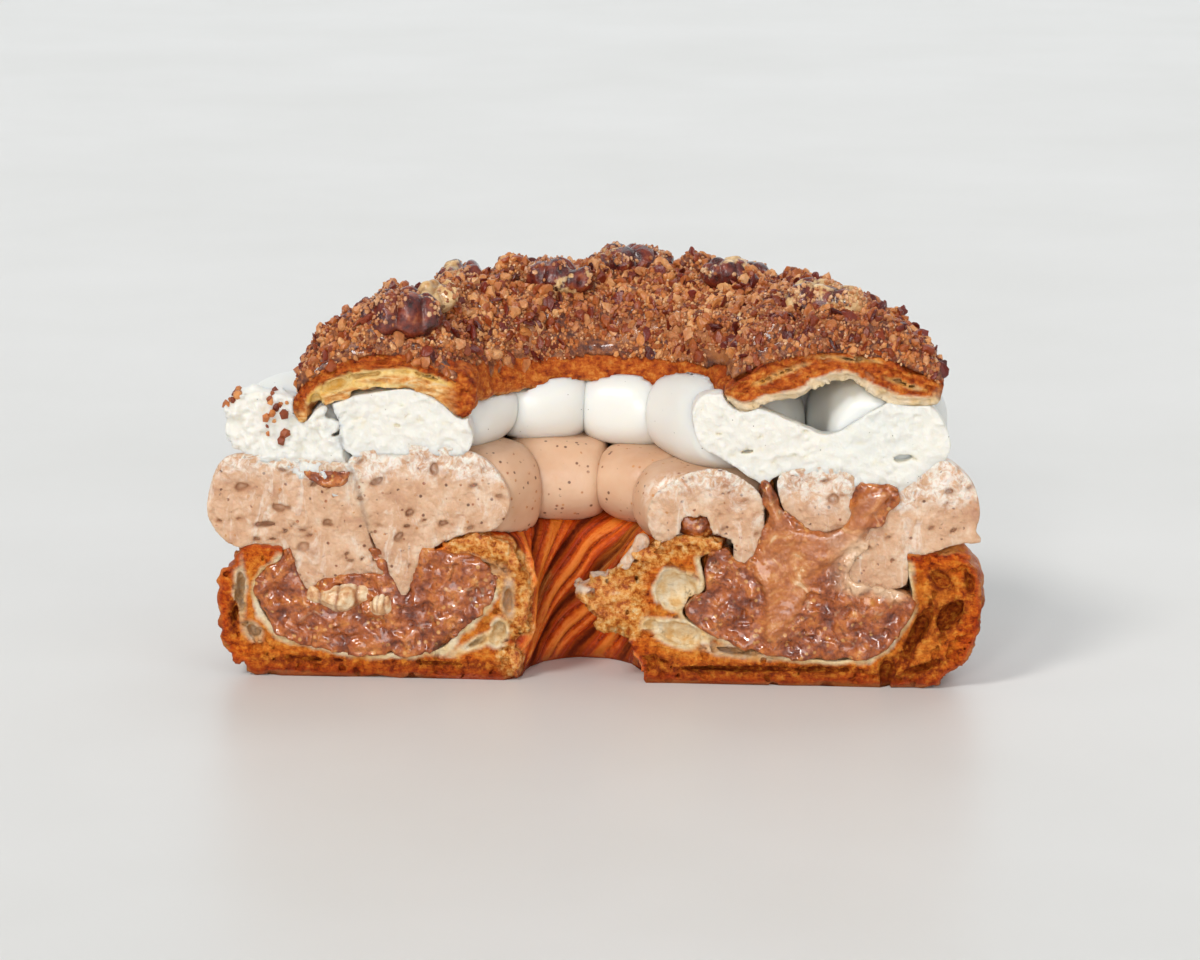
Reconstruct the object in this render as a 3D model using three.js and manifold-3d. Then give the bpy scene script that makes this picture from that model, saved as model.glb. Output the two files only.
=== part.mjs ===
// Half of a filled ring pastry, cut across its middle, in millimetres with +Z up.
// A laminated base ring holds nut praline in a trough. Two rings of piped pecan cream lie on it,
// then two rings of piped vanilla cream, then an arched pastry top under nut crumble and pecans.
// Sections are drawn in the plane of radius and height round the ring's own axis, and swept from
// the right-hand cut (angle 0) to the left-hand cut (angle PI). Both cut faces lie in one plane.
import * as THREE from "three";
import { mergeVertices } from "three/addons/utils/BufferGeometryUtils.js";
import Module from "manifold-3d";

const wasm = await Module();
wasm.setup();

// ---- driving dimensions ----
const BACK_SWELL = 0.048; // how much taller everything is half way round than at the cuts
const CLEARANCE = 0.3; // gap kept between pieces that touch
const BED_GAP = 0.75; // the same above the praline, whose top slopes both ways
const FINEST = 0.02; // slivers that a cut leaves, narrower than this, are closed up
const DEG = Math.PI / 180;

// Each radius is its value half way round plus `lean` times the cosine of the angle, because the
// hole sits off centre. `deepen` stretches the hole towards the back.
const BASE = {
  outer: 59.2, outerLean: 3.1, inner: 8.3, innerLean: 0.4, deepen: 5.4,
  rimHeight: 21.2, floor: 4.2, footTuck: 7.4, rimTuck: 3.9, rimWidth: 10.6,
  outerWall: 8.4, innerWall: 6.6, lipReachRight: 12.9, lipReachLeft: 15.0,
  lipHeight: 22.4, lipThickness: 2.3, lipRoot: 10.1, lipCrest: 7.2, rimCrest: 3.2, footBulge: 2,
  strandsOutside: 7, strandsInside: -5.25, strandSlope: 0.11, strandDepth: 1.7,
  layersPerStrand: 3, layerDepth: 0.45, unevenness: 0.4,
};
const CAP = {
  outer: 49.4, outerLean: 5.8, inner: 19.9, innerLean: 2.9,
  rimRight: 43.8, rimLeft: 41.2, archRight: 48.2, archLeft: 46.2, crownRight: 53.6, crownLeft: 52.2,
  rimFace: 4.6, ragged: 0.7, rumple: 0.3,
};
const CREAM = {
  meetRight: 32.2, meetLeft: 34.8,
  pecanOuter: 58.7, pecanOuterLean: 1.6, pecanInner: 10.7, pecanDeepen: 2.4,
  vanillaOuter: 55.2, vanillaOuterLean: 0.9, vanillaInner: 17.0,
  vanillaTopRight: 45.4, vanillaTopLeft: 46.0, boxiness: 2.6, squeeze: 0.9,
  around: 10, rows: 7,
};
// Angles of the piped dollops, from the right-hand cut to the left-hand one. The first and the
// last of each row are cut through.
const PECAN_INNER_ANGLES = [-9, 27, 62, 104, 145, 183];
const PECAN_OUTER_ANGLES = [1, 21, 42, 61, 81, 101, 121, 140, 160, 179];
const VANILLA_INNER_ANGLES = [3, 40, 75, 109, 144, 180];
const VANILLA_OUTER_ANGLES = [2, 22, 41, 62, 82, 100, 121, 141, 160, 178];

const CRUMBLE = { thickness: 5.0, edge: 1.0, lumps: 1.2, nuts: 34, nutSize: 2.2 };

// How many steps go round the half ring. Pieces that lie on each other share them, so that their
// facing sides stay parallel.
const BASE_STEPS = 36;
const FILLING_STEPS = 18;
const CAP_STEPS = 24;

// Pecan pieces on the crumble: angle, share of the cap's width, how far the middle stands above the
// pastry top, half length, half width, half height, and turn about the vertical.
const PECANS = [
  [171, 0.41, 5.2, 6.0, 3.9, 3.3, 10],
  [151, 0.33, 6.0, 3.9, 3.1, 2.6, 70],
  [103, 0.34, 5.6, 6.8, 3.8, 3.1, -12],
  [82, 0.6, 5.8, 7.6, 4.4, 3.3, 20],
  [52, 0.44, 6.1, 5.4, 3.3, 2.7, 35],
  [15, 0.45, 5.6, 7.9, 3.6, 3.0, -14],
  [30, 0.2, 3.2, 3.6, 2.5, 2.1, 55],
  [125, 0.68, 5.2, 6.2, 3.8, 3.0, 80],
  [58, 0.76, 4.4, 6.4, 3.9, 3.0, -50],
];

const COLOURS = {
  crust: 0xb5692a, praline: 0x8a5a3a, pecanCream: 0xdcc0a6, vanillaCream: 0xf6f3ea,
  crumble: 0xa9754a, pecan: 0x5a2a20, kernel: 0xd9b98c,
};

// ---- small helpers ----
const mix = (a, b, t) => a + (b - a) * t;
const clamp = (x, low, high) => Math.min(high, Math.max(low, x));
const smooth = (a, b, x) => {
  const t = clamp((x - a) / (b - a), 0, 1);
  return t * t * (3 - 2 * t);
};
// 0 at the right-hand cut and 1 at the left-hand one.
const across = (angle) => clamp(angle / Math.PI, 0, 1);
const leaning = (middle, lean, angle) => middle + lean * Math.cos(angle);
const atRing = (radius, angle, height) =>
  new THREE.Vector3(radius * Math.cos(angle), radius * Math.sin(angle), height);

function seeded(seed) {
  let state = seed;
  return () => {
    state = (state + 0x6d2b79f5) | 0;
    let t = Math.imul(state ^ (state >>> 15), 1 | state);
    t = (t + Math.imul(t ^ (t >>> 7), 61 | t)) ^ t;
    return ((t ^ (t >>> 14)) >>> 0) / 4294967296;
  };
}

// Slow waves in place of noise, so that no surface is perfectly regular.
const wander = (a, b, c) =>
  (Math.sin(1.7 * a + 2.3 * b + c) + Math.sin(3.1 * a - 1.3 * b + 2.1 * c) + Math.sin(0.9 * b + 4.7 * a)) / 3;

// ---- solids ----
function toSolid(geometry) {
  const bare = geometry.index ? geometry.toNonIndexed() : geometry.clone();
  bare.deleteAttribute("normal");
  bare.deleteAttribute("uv");
  const merged = mergeVertices(bare, 1e-4);
  return new wasm.Manifold(
    new wasm.Mesh({
      numProp: 3,
      vertProperties: merged.attributes.position.array,
      triVerts: new Uint32Array(merged.index.array),
    }),
  );
}

// The pastry rises towards its back, so each point is lifted in proportion to its height.
function rising(solid) {
  return solid.warp((point) => {
    const [x, y, z] = point;
    point[2] = z * (1 + (BACK_SWELL * y) / Math.hypot(x, y));
  });
}

function toGeometry(solid) {
  const mesh = solid.getMesh();
  return new THREE.BufferGeometry()
    .setAttribute("position", new THREE.BufferAttribute(new Float32Array(mesh.vertProperties), 3))
    .setIndex(new THREE.BufferAttribute(new Uint32Array(mesh.triVerts), 1));
}

// Of what a cut leaves, the one piece that matters.
function largestPiece(solid) {
  return solid.decompose().reduce((best, piece) => (piece.volume() > best.volume() ? piece : best));
}

// A closed solid swept round the ring: sectionAt(angle) gives its outline as [radius, height]
// pairs, always the same number of them and always turning the same way.
const toVectors = (section) => section.map(([r, z]) => new THREE.Vector2(r, z));

function sweepRing(sectionAt, steps) {
  const sections = Array.from({ length: steps + 1 }, (_, i) => sectionAt((Math.PI * i) / steps));
  if (THREE.ShapeUtils.area(toVectors(sections[0])) < 0) sections.forEach((section) => section.reverse());
  const count = sections[0].length;
  const points = sections.flatMap((section, i) =>
    section.flatMap(([radius, height]) => atRing(radius, (Math.PI * i) / steps, height).toArray()),
  );
  const index = [];
  for (let i = 0; i < steps; i++) {
    for (let j = 0; j < count; j++) {
      const k = (j + 1) % count;
      const [a, b, c, d] = [i * count + j, i * count + k, (i + 1) * count + k, (i + 1) * count + j];
      index.push(a, c, b, a, d, c);
    }
  }
  const faces = (section) => THREE.ShapeUtils.triangulateShape(toVectors(section), []);
  const last = steps * count;
  for (const [a, b, c] of faces(sections[0])) index.push(a, b, c);
  for (const [a, b, c] of faces(sections[steps])) index.push(last + a, last + c, last + b);
  const geometry = new THREE.BufferGeometry()
    .setAttribute("position", new THREE.BufferAttribute(new Float32Array(points), 3))
    .setIndex(index);
  return toSolid(geometry);
}

// A unit sphere with its poles on the vertical.
function unitSphere(around, rows) {
  const geometry = new THREE.SphereGeometry(1, around, rows).rotateX(Math.PI / 2);
  geometry.deleteAttribute("normal");
  geometry.deleteAttribute("uv");
  return mergeVertices(geometry, 1e-4);
}

// An uneven egg with the given half sizes, turned about the vertical.
function lump(size, place, turn = 0, rows = 6, roughness = 0, random = seeded(1)) {
  const geometry = unitSphere(rows + 1, rows);
  const position = geometry.attributes.position;
  for (let i = 0; i < position.count; i++) {
    const grow = 1 + roughness * (random() - 0.5);
    position.setXYZ(
      i,
      position.getX(i) * size[0] * grow,
      position.getY(i) * size[1] * grow,
      position.getZ(i) * size[2] * grow,
    );
  }
  return toSolid(geometry.rotateZ(turn).translate(...place.toArray()));
}

const CUT_AT = 0.02; // so that no film is left where a swept cutter ends in the cut plane itself
const keptHalf = toSolid(new THREE.BoxGeometry(200, 100, 200).translate(0, 50 + CUT_AT, 0));

// ---- surfaces that neighbouring pieces share ----
const baseOuter = (angle) => leaning(BASE.outer, BASE.outerLean, angle);
const baseInner = (angle) =>
  leaning(BASE.inner, BASE.innerLean, angle) + BASE.deepen * Math.sin(angle) ** 2;

const lipTip = (angle) =>
  baseInner(angle) + mix(BASE.lipReachRight, BASE.lipReachLeft, across(angle));

// The trough's hollow is an ellipse in the section: centre radius, half width, centre height,
// half height.
function trough(angle) {
  const outside = baseOuter(angle) - BASE.outerWall;
  const inside = baseInner(angle) + BASE.innerWall;
  const height = (BASE.rimHeight - 1.2 - BASE.floor) / 2;
  return { r: (outside + inside) / 2, a: (outside - inside) / 2, z: BASE.floor + height, b: height };
}
// Where its outline has its points, in degrees, from under the outer rim to under the inner lip.
const TROUGH_TURNS = [34, 0, -36, -72, -108, -144, -174, -200];
const troughPoint = (t, degrees, gap = 0) => [
  t.r + (t.a - gap) * Math.cos(degrees * DEG),
  t.z + (t.b - gap) * Math.sin(degrees * DEG),
];

// Where the two creams meet, as a height.
const creamMeet = (angle) => mix(CREAM.meetRight, CREAM.meetLeft, smooth(0.05, 0.95, across(angle)));

// The cap's arch: the share of its width, s, is 0 at the hole and 1 at the outside.
const capInner = (angle) => leaning(CAP.inner, CAP.innerLean, angle);
const capOuter = (angle) => leaning(CAP.outer, CAP.outerLean, angle);
const capRim = (angle) => mix(CAP.rimRight, CAP.rimLeft, across(angle));
const capRadius = (s, angle) => mix(capInner(angle), capOuter(angle), s);
const archRise = (s) => Math.pow(Math.sin(Math.PI * clamp(s, 0, 1)), 0.72);
const capUnder = (s, angle) =>
  mix(capRim(angle), mix(CAP.archRight, CAP.archLeft, across(angle)), archRise(s));
const capTop = (s, angle) =>
  mix(capRim(angle) + CAP.rimFace, mix(CAP.crownRight, CAP.crownLeft, across(angle)), archRise(s)) +
  CAP.rumple * wander(angle * 8, s * 9, 0) * Math.sin(Math.PI * s);

// The highest that cream may reach: under the arch, and free again outside the cap's rims.
function creamCeiling(radius, angle) {
  const s = (radius - capInner(angle)) / (capOuter(angle) - capInner(angle));
  const outside = Math.max(capInner(angle) - radius, radius - capOuter(angle), 0);
  return capUnder(s, angle) - 0.8 + 3 * Math.max(0, outside - 1.5);
}

// ---- base ring ----
// Twisted strands of dough show on both walls as slanting ridges, each with fine layers.
function strandRelief(angle, height, count) {
  const phase = (count * angle) / Math.PI - BASE.strandSlope * height;
  const strand = Math.abs(Math.sin(Math.PI * phase));
  const layer = Math.cos(2 * Math.PI * phase * BASE.layersPerStrand);
  const fade = smooth(0, 4, height) * smooth(BASE.rimHeight + 1, BASE.rimHeight - 4, height);
  return fade * (BASE.strandDepth * (strand - 0.55) + BASE.layerDepth * layer * strand);
}

const OUTER_WALL_SHARES = [0, 0.07, 0.2, 0.38, 0.56, 0.74, 0.88, 1];
const INNER_WALL_SHARES = [0.9, 0.74, 0.58, 0.42, 0.27, 0.13, 0];

function baseSection(angle) {
  const outer = baseOuter(angle);
  const inner = baseInner(angle);
  const lip = lipTip(angle);
  const underLip = BASE.lipHeight - BASE.lipThickness;
  // The ridges die down towards the two cuts, where the knife pressed the dough flat.
  const ridges = Math.min(smooth(0, 14, angle / DEG), smooth(180, 166, angle / DEG));
  const uneven = (a, b) => BASE.unevenness * wander(angle * a, b, 0);
  const outerWall = OUTER_WALL_SHARES.map((v) => {
    const z = v * BASE.rimHeight;
    const tuck = BASE.footTuck * (1 - v) ** 5 + BASE.rimTuck * v ** 8;
    const relief = strandRelief(angle, z, BASE.strandsOutside) * mix(0.35, 1, ridges);
    return [outer - tuck + relief + uneven(3, v * 5), z];
  });
  const innerWall = INNER_WALL_SHARES.map((v) => {
    const z = v * BASE.rimHeight;
    const relief = strandRelief(angle, z, BASE.strandsInside) * mix(0.25, 0.8, ridges);
    return [inner + BASE.footBulge * (1 - v) ** 2 - relief, z];
  });
  return [
    ...outerWall,
    [outer - BASE.rimTuck - BASE.rimCrest, BASE.rimHeight + 0.5 + uneven(6, 1)],
    [outer - BASE.rimWidth, BASE.rimHeight - 0.6],
    ...TROUGH_TURNS.map((turn) => troughPoint(trough(angle), turn)),
    [inner + BASE.lipRoot, underLip - 1.3],
    [lip - 0.6, underLip - 0.2],
    [lip, underLip + 0.9],
    [inner + BASE.lipCrest, BASE.lipHeight - 0.2 + uneven(5, 2)],
    [inner + 2.4, BASE.lipHeight - 1.2],
    ...innerWall,
  ];
}

// Pockets of air that the knife opened: across the face, from its own plane inwards.
// Each is radius, height, half width, half height and half depth, at one of the two cuts.
const AIR_POCKETS = {
  right: [
    [15.4, 15.0, 3.1, 2.9, 6.0],
    [15.6, 8.2, 4.4, 1.9, 5.0],
    [23.0, 5.9, 4.4, 0.7, 3.5],
    [53.6, 8.3, 2.0, 4.0, 5.0],
    [57.2, 12.3, 1.2, 2.6, 4.0],
    [56.0, 17.0, 1.3, 1.6, 3.5],
  ],
  left: [
    [12.8, 7.2, 1.6, 1.9, 4.0],
    [53.0, 13.9, 0.9, 2.6, 3.0],
    [50.9, 6.9, 1.5, 1.5, 2.5],
  ],
};
// Torn flakes of crumb that stand into the hole at the right-hand cut: radius, height, sizes.
const FLAKES = [
  [6.4, 10.6, 4.4, 1.9, 3.3],
  [6.9, 15.4, 2.5, 1.3, 0.9],
];

function makeBase() {
  let base = sweepRing(baseSection, BASE_STEPS);
  for (const [side, pockets] of Object.entries(AIR_POCKETS)) {
    const sign = side === "right" ? 1 : -1;
    for (const [r, z, halfWidth, halfHeight, halfDepth] of pockets)
      base = base.subtract(lump([halfWidth, halfDepth, halfHeight], new THREE.Vector3(sign * r, -0.4, z)));
  }
  FLAKES.forEach(([r, z, halfWidth, halfDepth, halfHeight], i) => {
    const place = new THREE.Vector3(r, halfDepth * 0.7, z);
    base = base.add(lump([halfWidth, halfDepth, halfHeight], place, 0, 6, 0.35, seeded(i + 5)));
  });
  return base;
}

// ---- praline ----
// The praline's upper surface at each cut, from the inner lip outwards. At the right-hand cut it
// wells up between the creams, and at the left-hand one the pecan cream is pressed down into it.
const PRALINE_TOP = {
  right: [
    [19.3, 18.2], [21.4, 18.9], [25.0, 22.5], [28.4, 30.2], [30.4, 30.2], [31.4, 25.8],
    [36.6, 24.0], [42.0, 28.6], [45.8, 29.2], [45.4, 18.0], [48.6, 15.6],
  ],
  left: [
    [18.4, 17.8], [21.0, 18.4], [23.0, 18.5], [25.4, 16.2], [27.6, 12.8], [29.6, 15.6],
    [34.0, 16.1], [39.0, 15.0], [42.2, 13.8], [43.2, 16.4], [44.1, 18.2],
  ],
};
// The welling dies away within this many degrees behind the right-hand cut.
const WELLING_ENDS = 26;

function pralineTop(angle) {
  const share = smooth(2, WELLING_ENDS, angle / DEG);
  const here = trough(angle);
  const right = trough(0);
  const left = trough(Math.PI);
  return PRALINE_TOP.right.map(([rightR, rightZ], i) => {
    const [leftR, leftZ] = PRALINE_TOP.left[i];
    // Radii are carried round as shares of the trough's width.
    const shareR = mix((rightR - right.r) / right.a, (leftR - left.r) / left.a, share);
    return [here.r + shareR * here.a, mix(rightZ, leftZ, share) + 0.2 * wander(angle * 7, i, 2)];
  });
}

function pralineSection(angle) {
  const wall = TROUGH_TURNS.map((turn) => troughPoint(trough(angle), turn, CLEARANCE));
  return [...wall, ...pralineTop(angle)];
}

// All that lies under the pecan cream: the base's outer rim, the praline and the inner lip, with
// the clearance added.
function bedSection(angle) {
  const outer = baseOuter(angle);
  const inner = baseInner(angle);
  const lip = lipTip(angle);
  return [
    [outer + 6, -1],
    [outer + 6, BASE.rimHeight - 0.6],
    [outer - 2.4, BASE.rimHeight + 0.5],
    [outer - BASE.rimTuck - BASE.rimCrest, BASE.rimHeight + 1.3],
    [outer - BASE.rimWidth - 0.4, BASE.rimHeight - 0.1],
    ...raised(pralineTop(angle), BED_GAP).slice(2).reverse().map(([r, z]) => [Math.max(r, lip + 0.6), z]),
    [lip + 0.4, BASE.lipHeight - BASE.lipThickness + 0.9],
    [lip - 0.3, BASE.lipHeight - BASE.lipThickness + 1.7],
    [inner + BASE.lipCrest, BASE.lipHeight + 0.6],
    [inner + 2.2, BASE.lipHeight - 0.4],
    [inner - 5, BASE.rimHeight - 4],
    [inner - 5, -1],
  ];
}

// A line of points moved to its left by `distance`.
function raised(line, distance) {
  return line.map(([r, z], i) => {
    const [r0, z0] = line[Math.max(0, i - 1)];
    const [r1, z1] = line[Math.min(line.length - 1, i + 1)];
    const length = Math.hypot(r1 - r0, z1 - z0);
    return [r - ((z1 - z0) / length) * distance, z + ((r1 - r0) / length) * distance];
  });
}

// The pecan half that shows in the praline at the left-hand cut.
const FILLING_PECAN = { r: 36.0, depth: 0.8, z: 12.6, size: [6.1, 3.4, 2.2], turn: 0.12 };

// A pecan kernel: a long half with a groove down the middle and lobes along each side.
const KERNEL = { lobes: 0.1, lobeTurns: 9, groove: 0.42, grooveWidth: 0.28 };

function pecanSolid(size, place, turn, rows = 6, grow = 0) {
  const geometry = unitSphere(rows * 2 - 4, rows);
  const position = geometry.attributes.position;
  for (let i = 0; i < position.count; i++) {
    // The sphere's poles become the two ends of the nut.
    const along = position.getZ(i);
    const side = position.getY(i);
    const up = -position.getX(i);
    const lobes = 1 + KERNEL.lobes * Math.cos(along * KERNEL.lobeTurns) * Math.abs(side);
    const middle = Math.exp(-((side / KERNEL.grooveWidth) ** 2)) * (1 - along ** 2);
    const groove = up > 0 ? KERNEL.groove * middle : 0;
    position.setXYZ(
      i,
      along * (size[0] + grow),
      side * lobes * (size[1] + grow),
      (up - groove) * (size[2] + grow),
    );
  }
  return toSolid(geometry.rotateZ(turn).translate(...place.toArray()));
}

// ---- piped cream ----
// A dollop is a rounded box that is pressed flat against its neighbours. Each of its points lies
// on a ray from its middle, as far out as the shape and all of its neighbours allow.
function dollop(shape) {
  const geometry = unitSphere(CREAM.around, CREAM.rows);
  const position = geometry.attributes.position;
  const direction = new THREE.Vector3();
  const radial = new THREE.Vector3(Math.cos(shape.angle), Math.sin(shape.angle), 0);
  const tangent = new THREE.Vector3(-radial.y, radial.x, 0);
  const centre = atRing(shape.radius, shape.angle, shape.height);
  for (let i = 0; i < position.count; i++) {
    const local = new THREE.Vector3().fromBufferAttribute(position, i);
    direction
      .copy(radial).multiplyScalar(local.x)
      .addScaledVector(tangent, local.y)
      .add(new THREE.Vector3(0, 0, local.z));
    let low = 0;
    let high = 2.2 * Math.max(...shape.half);
    for (let step = 0; step < 22; step++) {
      const middle = (low + high) / 2;
      const p = direction.clone().multiplyScalar(middle);
      const size =
        Math.abs(p.dot(radial) / shape.half[0]) ** CREAM.boxiness +
        Math.abs(p.dot(tangent) / shape.half[1]) ** CREAM.boxiness +
        Math.abs(p.z / shape.half[2]) ** CREAM.boxiness;
      if (size < 1 && shape.allows(p.add(centre))) low = middle;
      else high = middle;
    }
    position.setXYZ(i, ...direction.multiplyScalar(low).add(centre).toArray());
  }
  return toSolid(geometry);
}

// Near the right-hand cut the two rows of pecan cream stand apart, with praline between them.
const rowsMeet = (angle) => mix(34.4, 33.6, across(angle));
const apart = (angle) => smooth(24, 12, angle / DEG);
const innerRowEnds = (angle) => mix(rowsMeet(angle), 28.2, apart(angle));
const outerRowStarts = (angle) => mix(rowsMeet(angle), 45.6, apart(angle));
const vanillaRowsMeet = (angle) => mix(38.6, 37.6, across(angle));
const anything = () => Infinity;

// Each row: the angles of its dollops, the radii that each one spans, the heights it is drawn
// between, and what it is pressed flat against.
const PIPED_ROWS = {
  pecan_cream_inner: {
    colour: COLOURS.pecanCream,
    angles: PECAN_INNER_ANGLES,
    spans: (a) => [CREAM.pecanInner + CREAM.pecanDeepen * Math.sin(a) ** 2, innerRowEnds(a)],
    heights: (a) => [mix(17.0, 13.6, across(a)), creamMeet(a) + 1.4],
    nearest: () => 0,
    farthest: innerRowEnds,
    floor: () => 0,
    ceiling: (r, a) => creamMeet(a),
  },
  pecan_cream_outer: {
    colour: COLOURS.pecanCream,
    angles: PECAN_OUTER_ANGLES,
    spans: (a) => [outerRowStarts(a), leaning(CREAM.pecanOuter, CREAM.pecanOuterLean, a)],
    heights: (a) => [13.5, creamMeet(a) + 1.4],
    nearest: outerRowStarts,
    farthest: anything,
    floor: () => 0,
    ceiling: (r, a) => creamMeet(a),
  },
  vanilla_cream_inner: {
    colour: COLOURS.vanillaCream,
    angles: VANILLA_INNER_ANGLES,
    spans: (a) => [CREAM.vanillaInner, vanillaRowsMeet(a)],
    heights: (a) => [creamMeet(a) - 1, mix(CREAM.vanillaTopRight, CREAM.vanillaTopLeft, across(a))],
    nearest: () => 0,
    farthest: vanillaRowsMeet,
    floor: (r, a) => creamMeet(a),
    ceiling: creamCeiling,
  },
  vanilla_cream_outer: {
    colour: COLOURS.vanillaCream,
    angles: VANILLA_OUTER_ANGLES,
    spans: (a) => [vanillaRowsMeet(a), leaning(CREAM.vanillaOuter, CREAM.vanillaOuterLean, a)],
    heights: (a) => [creamMeet(a) - 1.6, mix(45.4, 45.0, across(a))],
    nearest: vanillaRowsMeet,
    farthest: anything,
    floor: (r, a) => creamMeet(a),
    ceiling: creamCeiling,
  },
};

// The dollops of one row, each pressed flat against the next one half way between them.
function pipedRow(row) {
  const angles = row.angles.map((a) => a * DEG);
  return angles.map((angle, i) => {
    const step = (angles[angles.length - 1] - angles[0]) / (angles.length - 1);
    const before = ((angles[i - 1] ?? angle - step) + angle) / 2;
    const after = ((angles[i + 1] ?? angle + step) + angle) / 2;
    const [inner, outer] = row.spans(angle);
    const [bottom, top] = row.heights(angle);
    const radius = (inner + outer) / 2;
    const gap = CLEARANCE / 2;
    return dollop({
      angle,
      radius,
      height: (bottom + top) / 2,
      half: [
        (outer - inner) / 2 + CREAM.squeeze,
        radius * ((after - before) / 2) + CREAM.squeeze,
        (top - bottom) / 2,
      ],
      allows(p) {
        const r = Math.hypot(p.x, p.y);
        const turn = Math.atan2(p.y, p.x);
        const away = turn < -Math.PI / 2 ? turn + 2 * Math.PI : turn;
        const sides = Math.min(r * Math.sin(away - before), r * Math.sin(after - away));
        const rows = Math.min(r - row.nearest(away), row.farthest(away) - r);
        const levels = Math.min(p.z - row.floor(r, away), row.ceiling(r, away) - p.z);
        return Math.min(sides, rows, levels) > gap;
      },
    });
  });
}

// At the right-hand cut a lump of pecan cream lies in the praline between the two rows.
const LUMP = { r: 36.8, depth: 2.0, z: 28.4, size: [5.5, 3.4, 3.4] };

// ---- pastry top ----
const CAP_SHARES = [0.02, 0.1, 0.22, 0.36, 0.5, 0.64, 0.78, 0.9, 0.98];

function capSection(angle) {
  const tear = CAP.ragged * wander(angle * 9, 0, 1);
  const under = CAP_SHARES.map((s) => [capRadius(s, angle), capUnder(s, angle)]);
  const over = CAP_SHARES.map((s) => [capRadius(s, angle), capTop(s, angle)]);
  const halfWay = capRim(angle) + CAP.rimFace / 2;
  return [
    ...under,
    [capOuter(angle) + tear, halfWay],
    ...over.reverse(),
    [capInner(angle) - tear, halfWay],
  ];
}

// ---- crumble ----
function crumbleDepth(s, angle) {
  const heap = smooth(0.06, 0.3, s) * smooth(1.0, 0.84, s);
  return CRUMBLE.edge + heap * (CRUMBLE.thickness + CRUMBLE.lumps * wander(angle * 6, s * 7, 3));
}

function crumbleSection(angle) {
  const lying = (s, rise) => [capRadius(s, angle), capTop(s, angle) + rise];
  const shares = CAP_SHARES.slice(1);
  const under = shares.map((s) => lying(s, CLEARANCE));
  const over = shares.map((s) => lying(s, CLEARANCE + crumbleDepth(s, angle)));
  return [...under, ...over.reverse()];
}

// Broken nuts stand out of the crumble, spread evenly by the golden angle.
function addNuts(heap) {
  const random = seeded(41);
  const golden = 0.618034;
  let joined = heap;
  for (let i = 0; i < CRUMBLE.nuts; i++) {
    const angle = Math.PI * mix(0.02, 0.98, (i * golden) % 1);
    const s = mix(0.2, 0.92, (i + 0.5) / CRUMBLE.nuts);
    const size = CRUMBLE.nutSize * mix(0.55, 1.3, random());
    const place = atRing(capRadius(s, angle), angle, capTop(s, angle) + CLEARANCE + crumbleDepth(s, angle));
    const flat = mix(0.6, 0.9, random());
    joined = joined.add(lump([size, size * flat, size * 0.72], place, random() * Math.PI, 3, 0.5, random));
  }
  return joined;
}

const pecanPlace = ([angle, s, rise]) =>
  atRing(capRadius(s, angle * DEG), angle * DEG, capTop(s, angle * DEG) + rise);
const pecanAt = (pecan, grow = 0) =>
  pecanSolid(pecan.slice(3, 6), pecanPlace(pecan), pecan[6] * DEG, 6, grow);

// ---- assembly ----
const pastry = new THREE.Group();

function addPiece(name, solid, colour, roughness) {
  const mesh = new THREE.Mesh(
    toGeometry(rising(largestPiece(solid.intersect(keptHalf))).simplify(FINEST)),
    new THREE.MeshStandardMaterial({ color: colour, roughness, metalness: 0 }),
  );
  mesh.name = name;
  pastry.add(mesh);
}

addPiece("base_ring", makeBase(), COLOURS.crust, 0.75);

// The pecan piece is held in the praline, which is cut round it.
const caughtPlace = new THREE.Vector3(-FILLING_PECAN.r, FILLING_PECAN.depth, FILLING_PECAN.z);
const caughtPecan = (grow) =>
  pecanSolid(FILLING_PECAN.size, caughtPlace, FILLING_PECAN.turn, 7, grow);
const praline = sweepRing(pralineSection, FILLING_STEPS);
addPiece("praline_filling", praline.subtract(caughtPecan(CLEARANCE)), COLOURS.praline, 0.35);
addPiece("pecan_in_praline", caughtPecan(0), COLOURS.kernel, 0.6);

// Pecan cream is pressed onto the base and the praline, so both are cut out of it.
const bed = sweepRing(bedSection, FILLING_STEPS);
const lumpPlace = new THREE.Vector3(LUMP.r, LUMP.depth, LUMP.z);
addPiece("pecan_cream_lump", lump(LUMP.size, lumpPlace, 0, 6).subtract(bed), COLOURS.pecanCream, 0.5);

for (const [name, row] of Object.entries(PIPED_ROWS)) {
  pipedRow(row).forEach((solid, i) => {
    const resting = row.colour === COLOURS.pecanCream ? solid.subtract(bed) : solid;
    addPiece(`${name}_${i + 1}`, resting, row.colour, 0.5);
  });
}

addPiece("pastry_top", sweepRing(capSection, CAP_STEPS), COLOURS.crust, 0.7);

let crumble = addNuts(sweepRing(crumbleSection, CAP_STEPS));
for (const pecan of PECANS) crumble = crumble.subtract(pecanAt(pecan, CLEARANCE));
addPiece("nut_crumble", crumble, COLOURS.crumble, 0.8);
PECANS.forEach((pecan, i) => addPiece(`pecan_${i + 1}`, pecanAt(pecan), COLOURS.pecan, 0.4));

// The origin is the middle of the footprint, on the surface that the pastry stands on.
const extent = new THREE.Box3().setFromObject(pastry);
const middle = extent.getCenter(new THREE.Vector3());
pastry.position.set(-middle.x, -middle.y, -extent.min.z);

export default pastry;
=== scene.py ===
# Looks of the half ring pastry. Fields are worked out in millimetres in the ring's own flat
# coordinates (its axis at the origin, the cut in the plane y = 0), then lifted towards the back
# and moved into the frame.
import math

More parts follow.
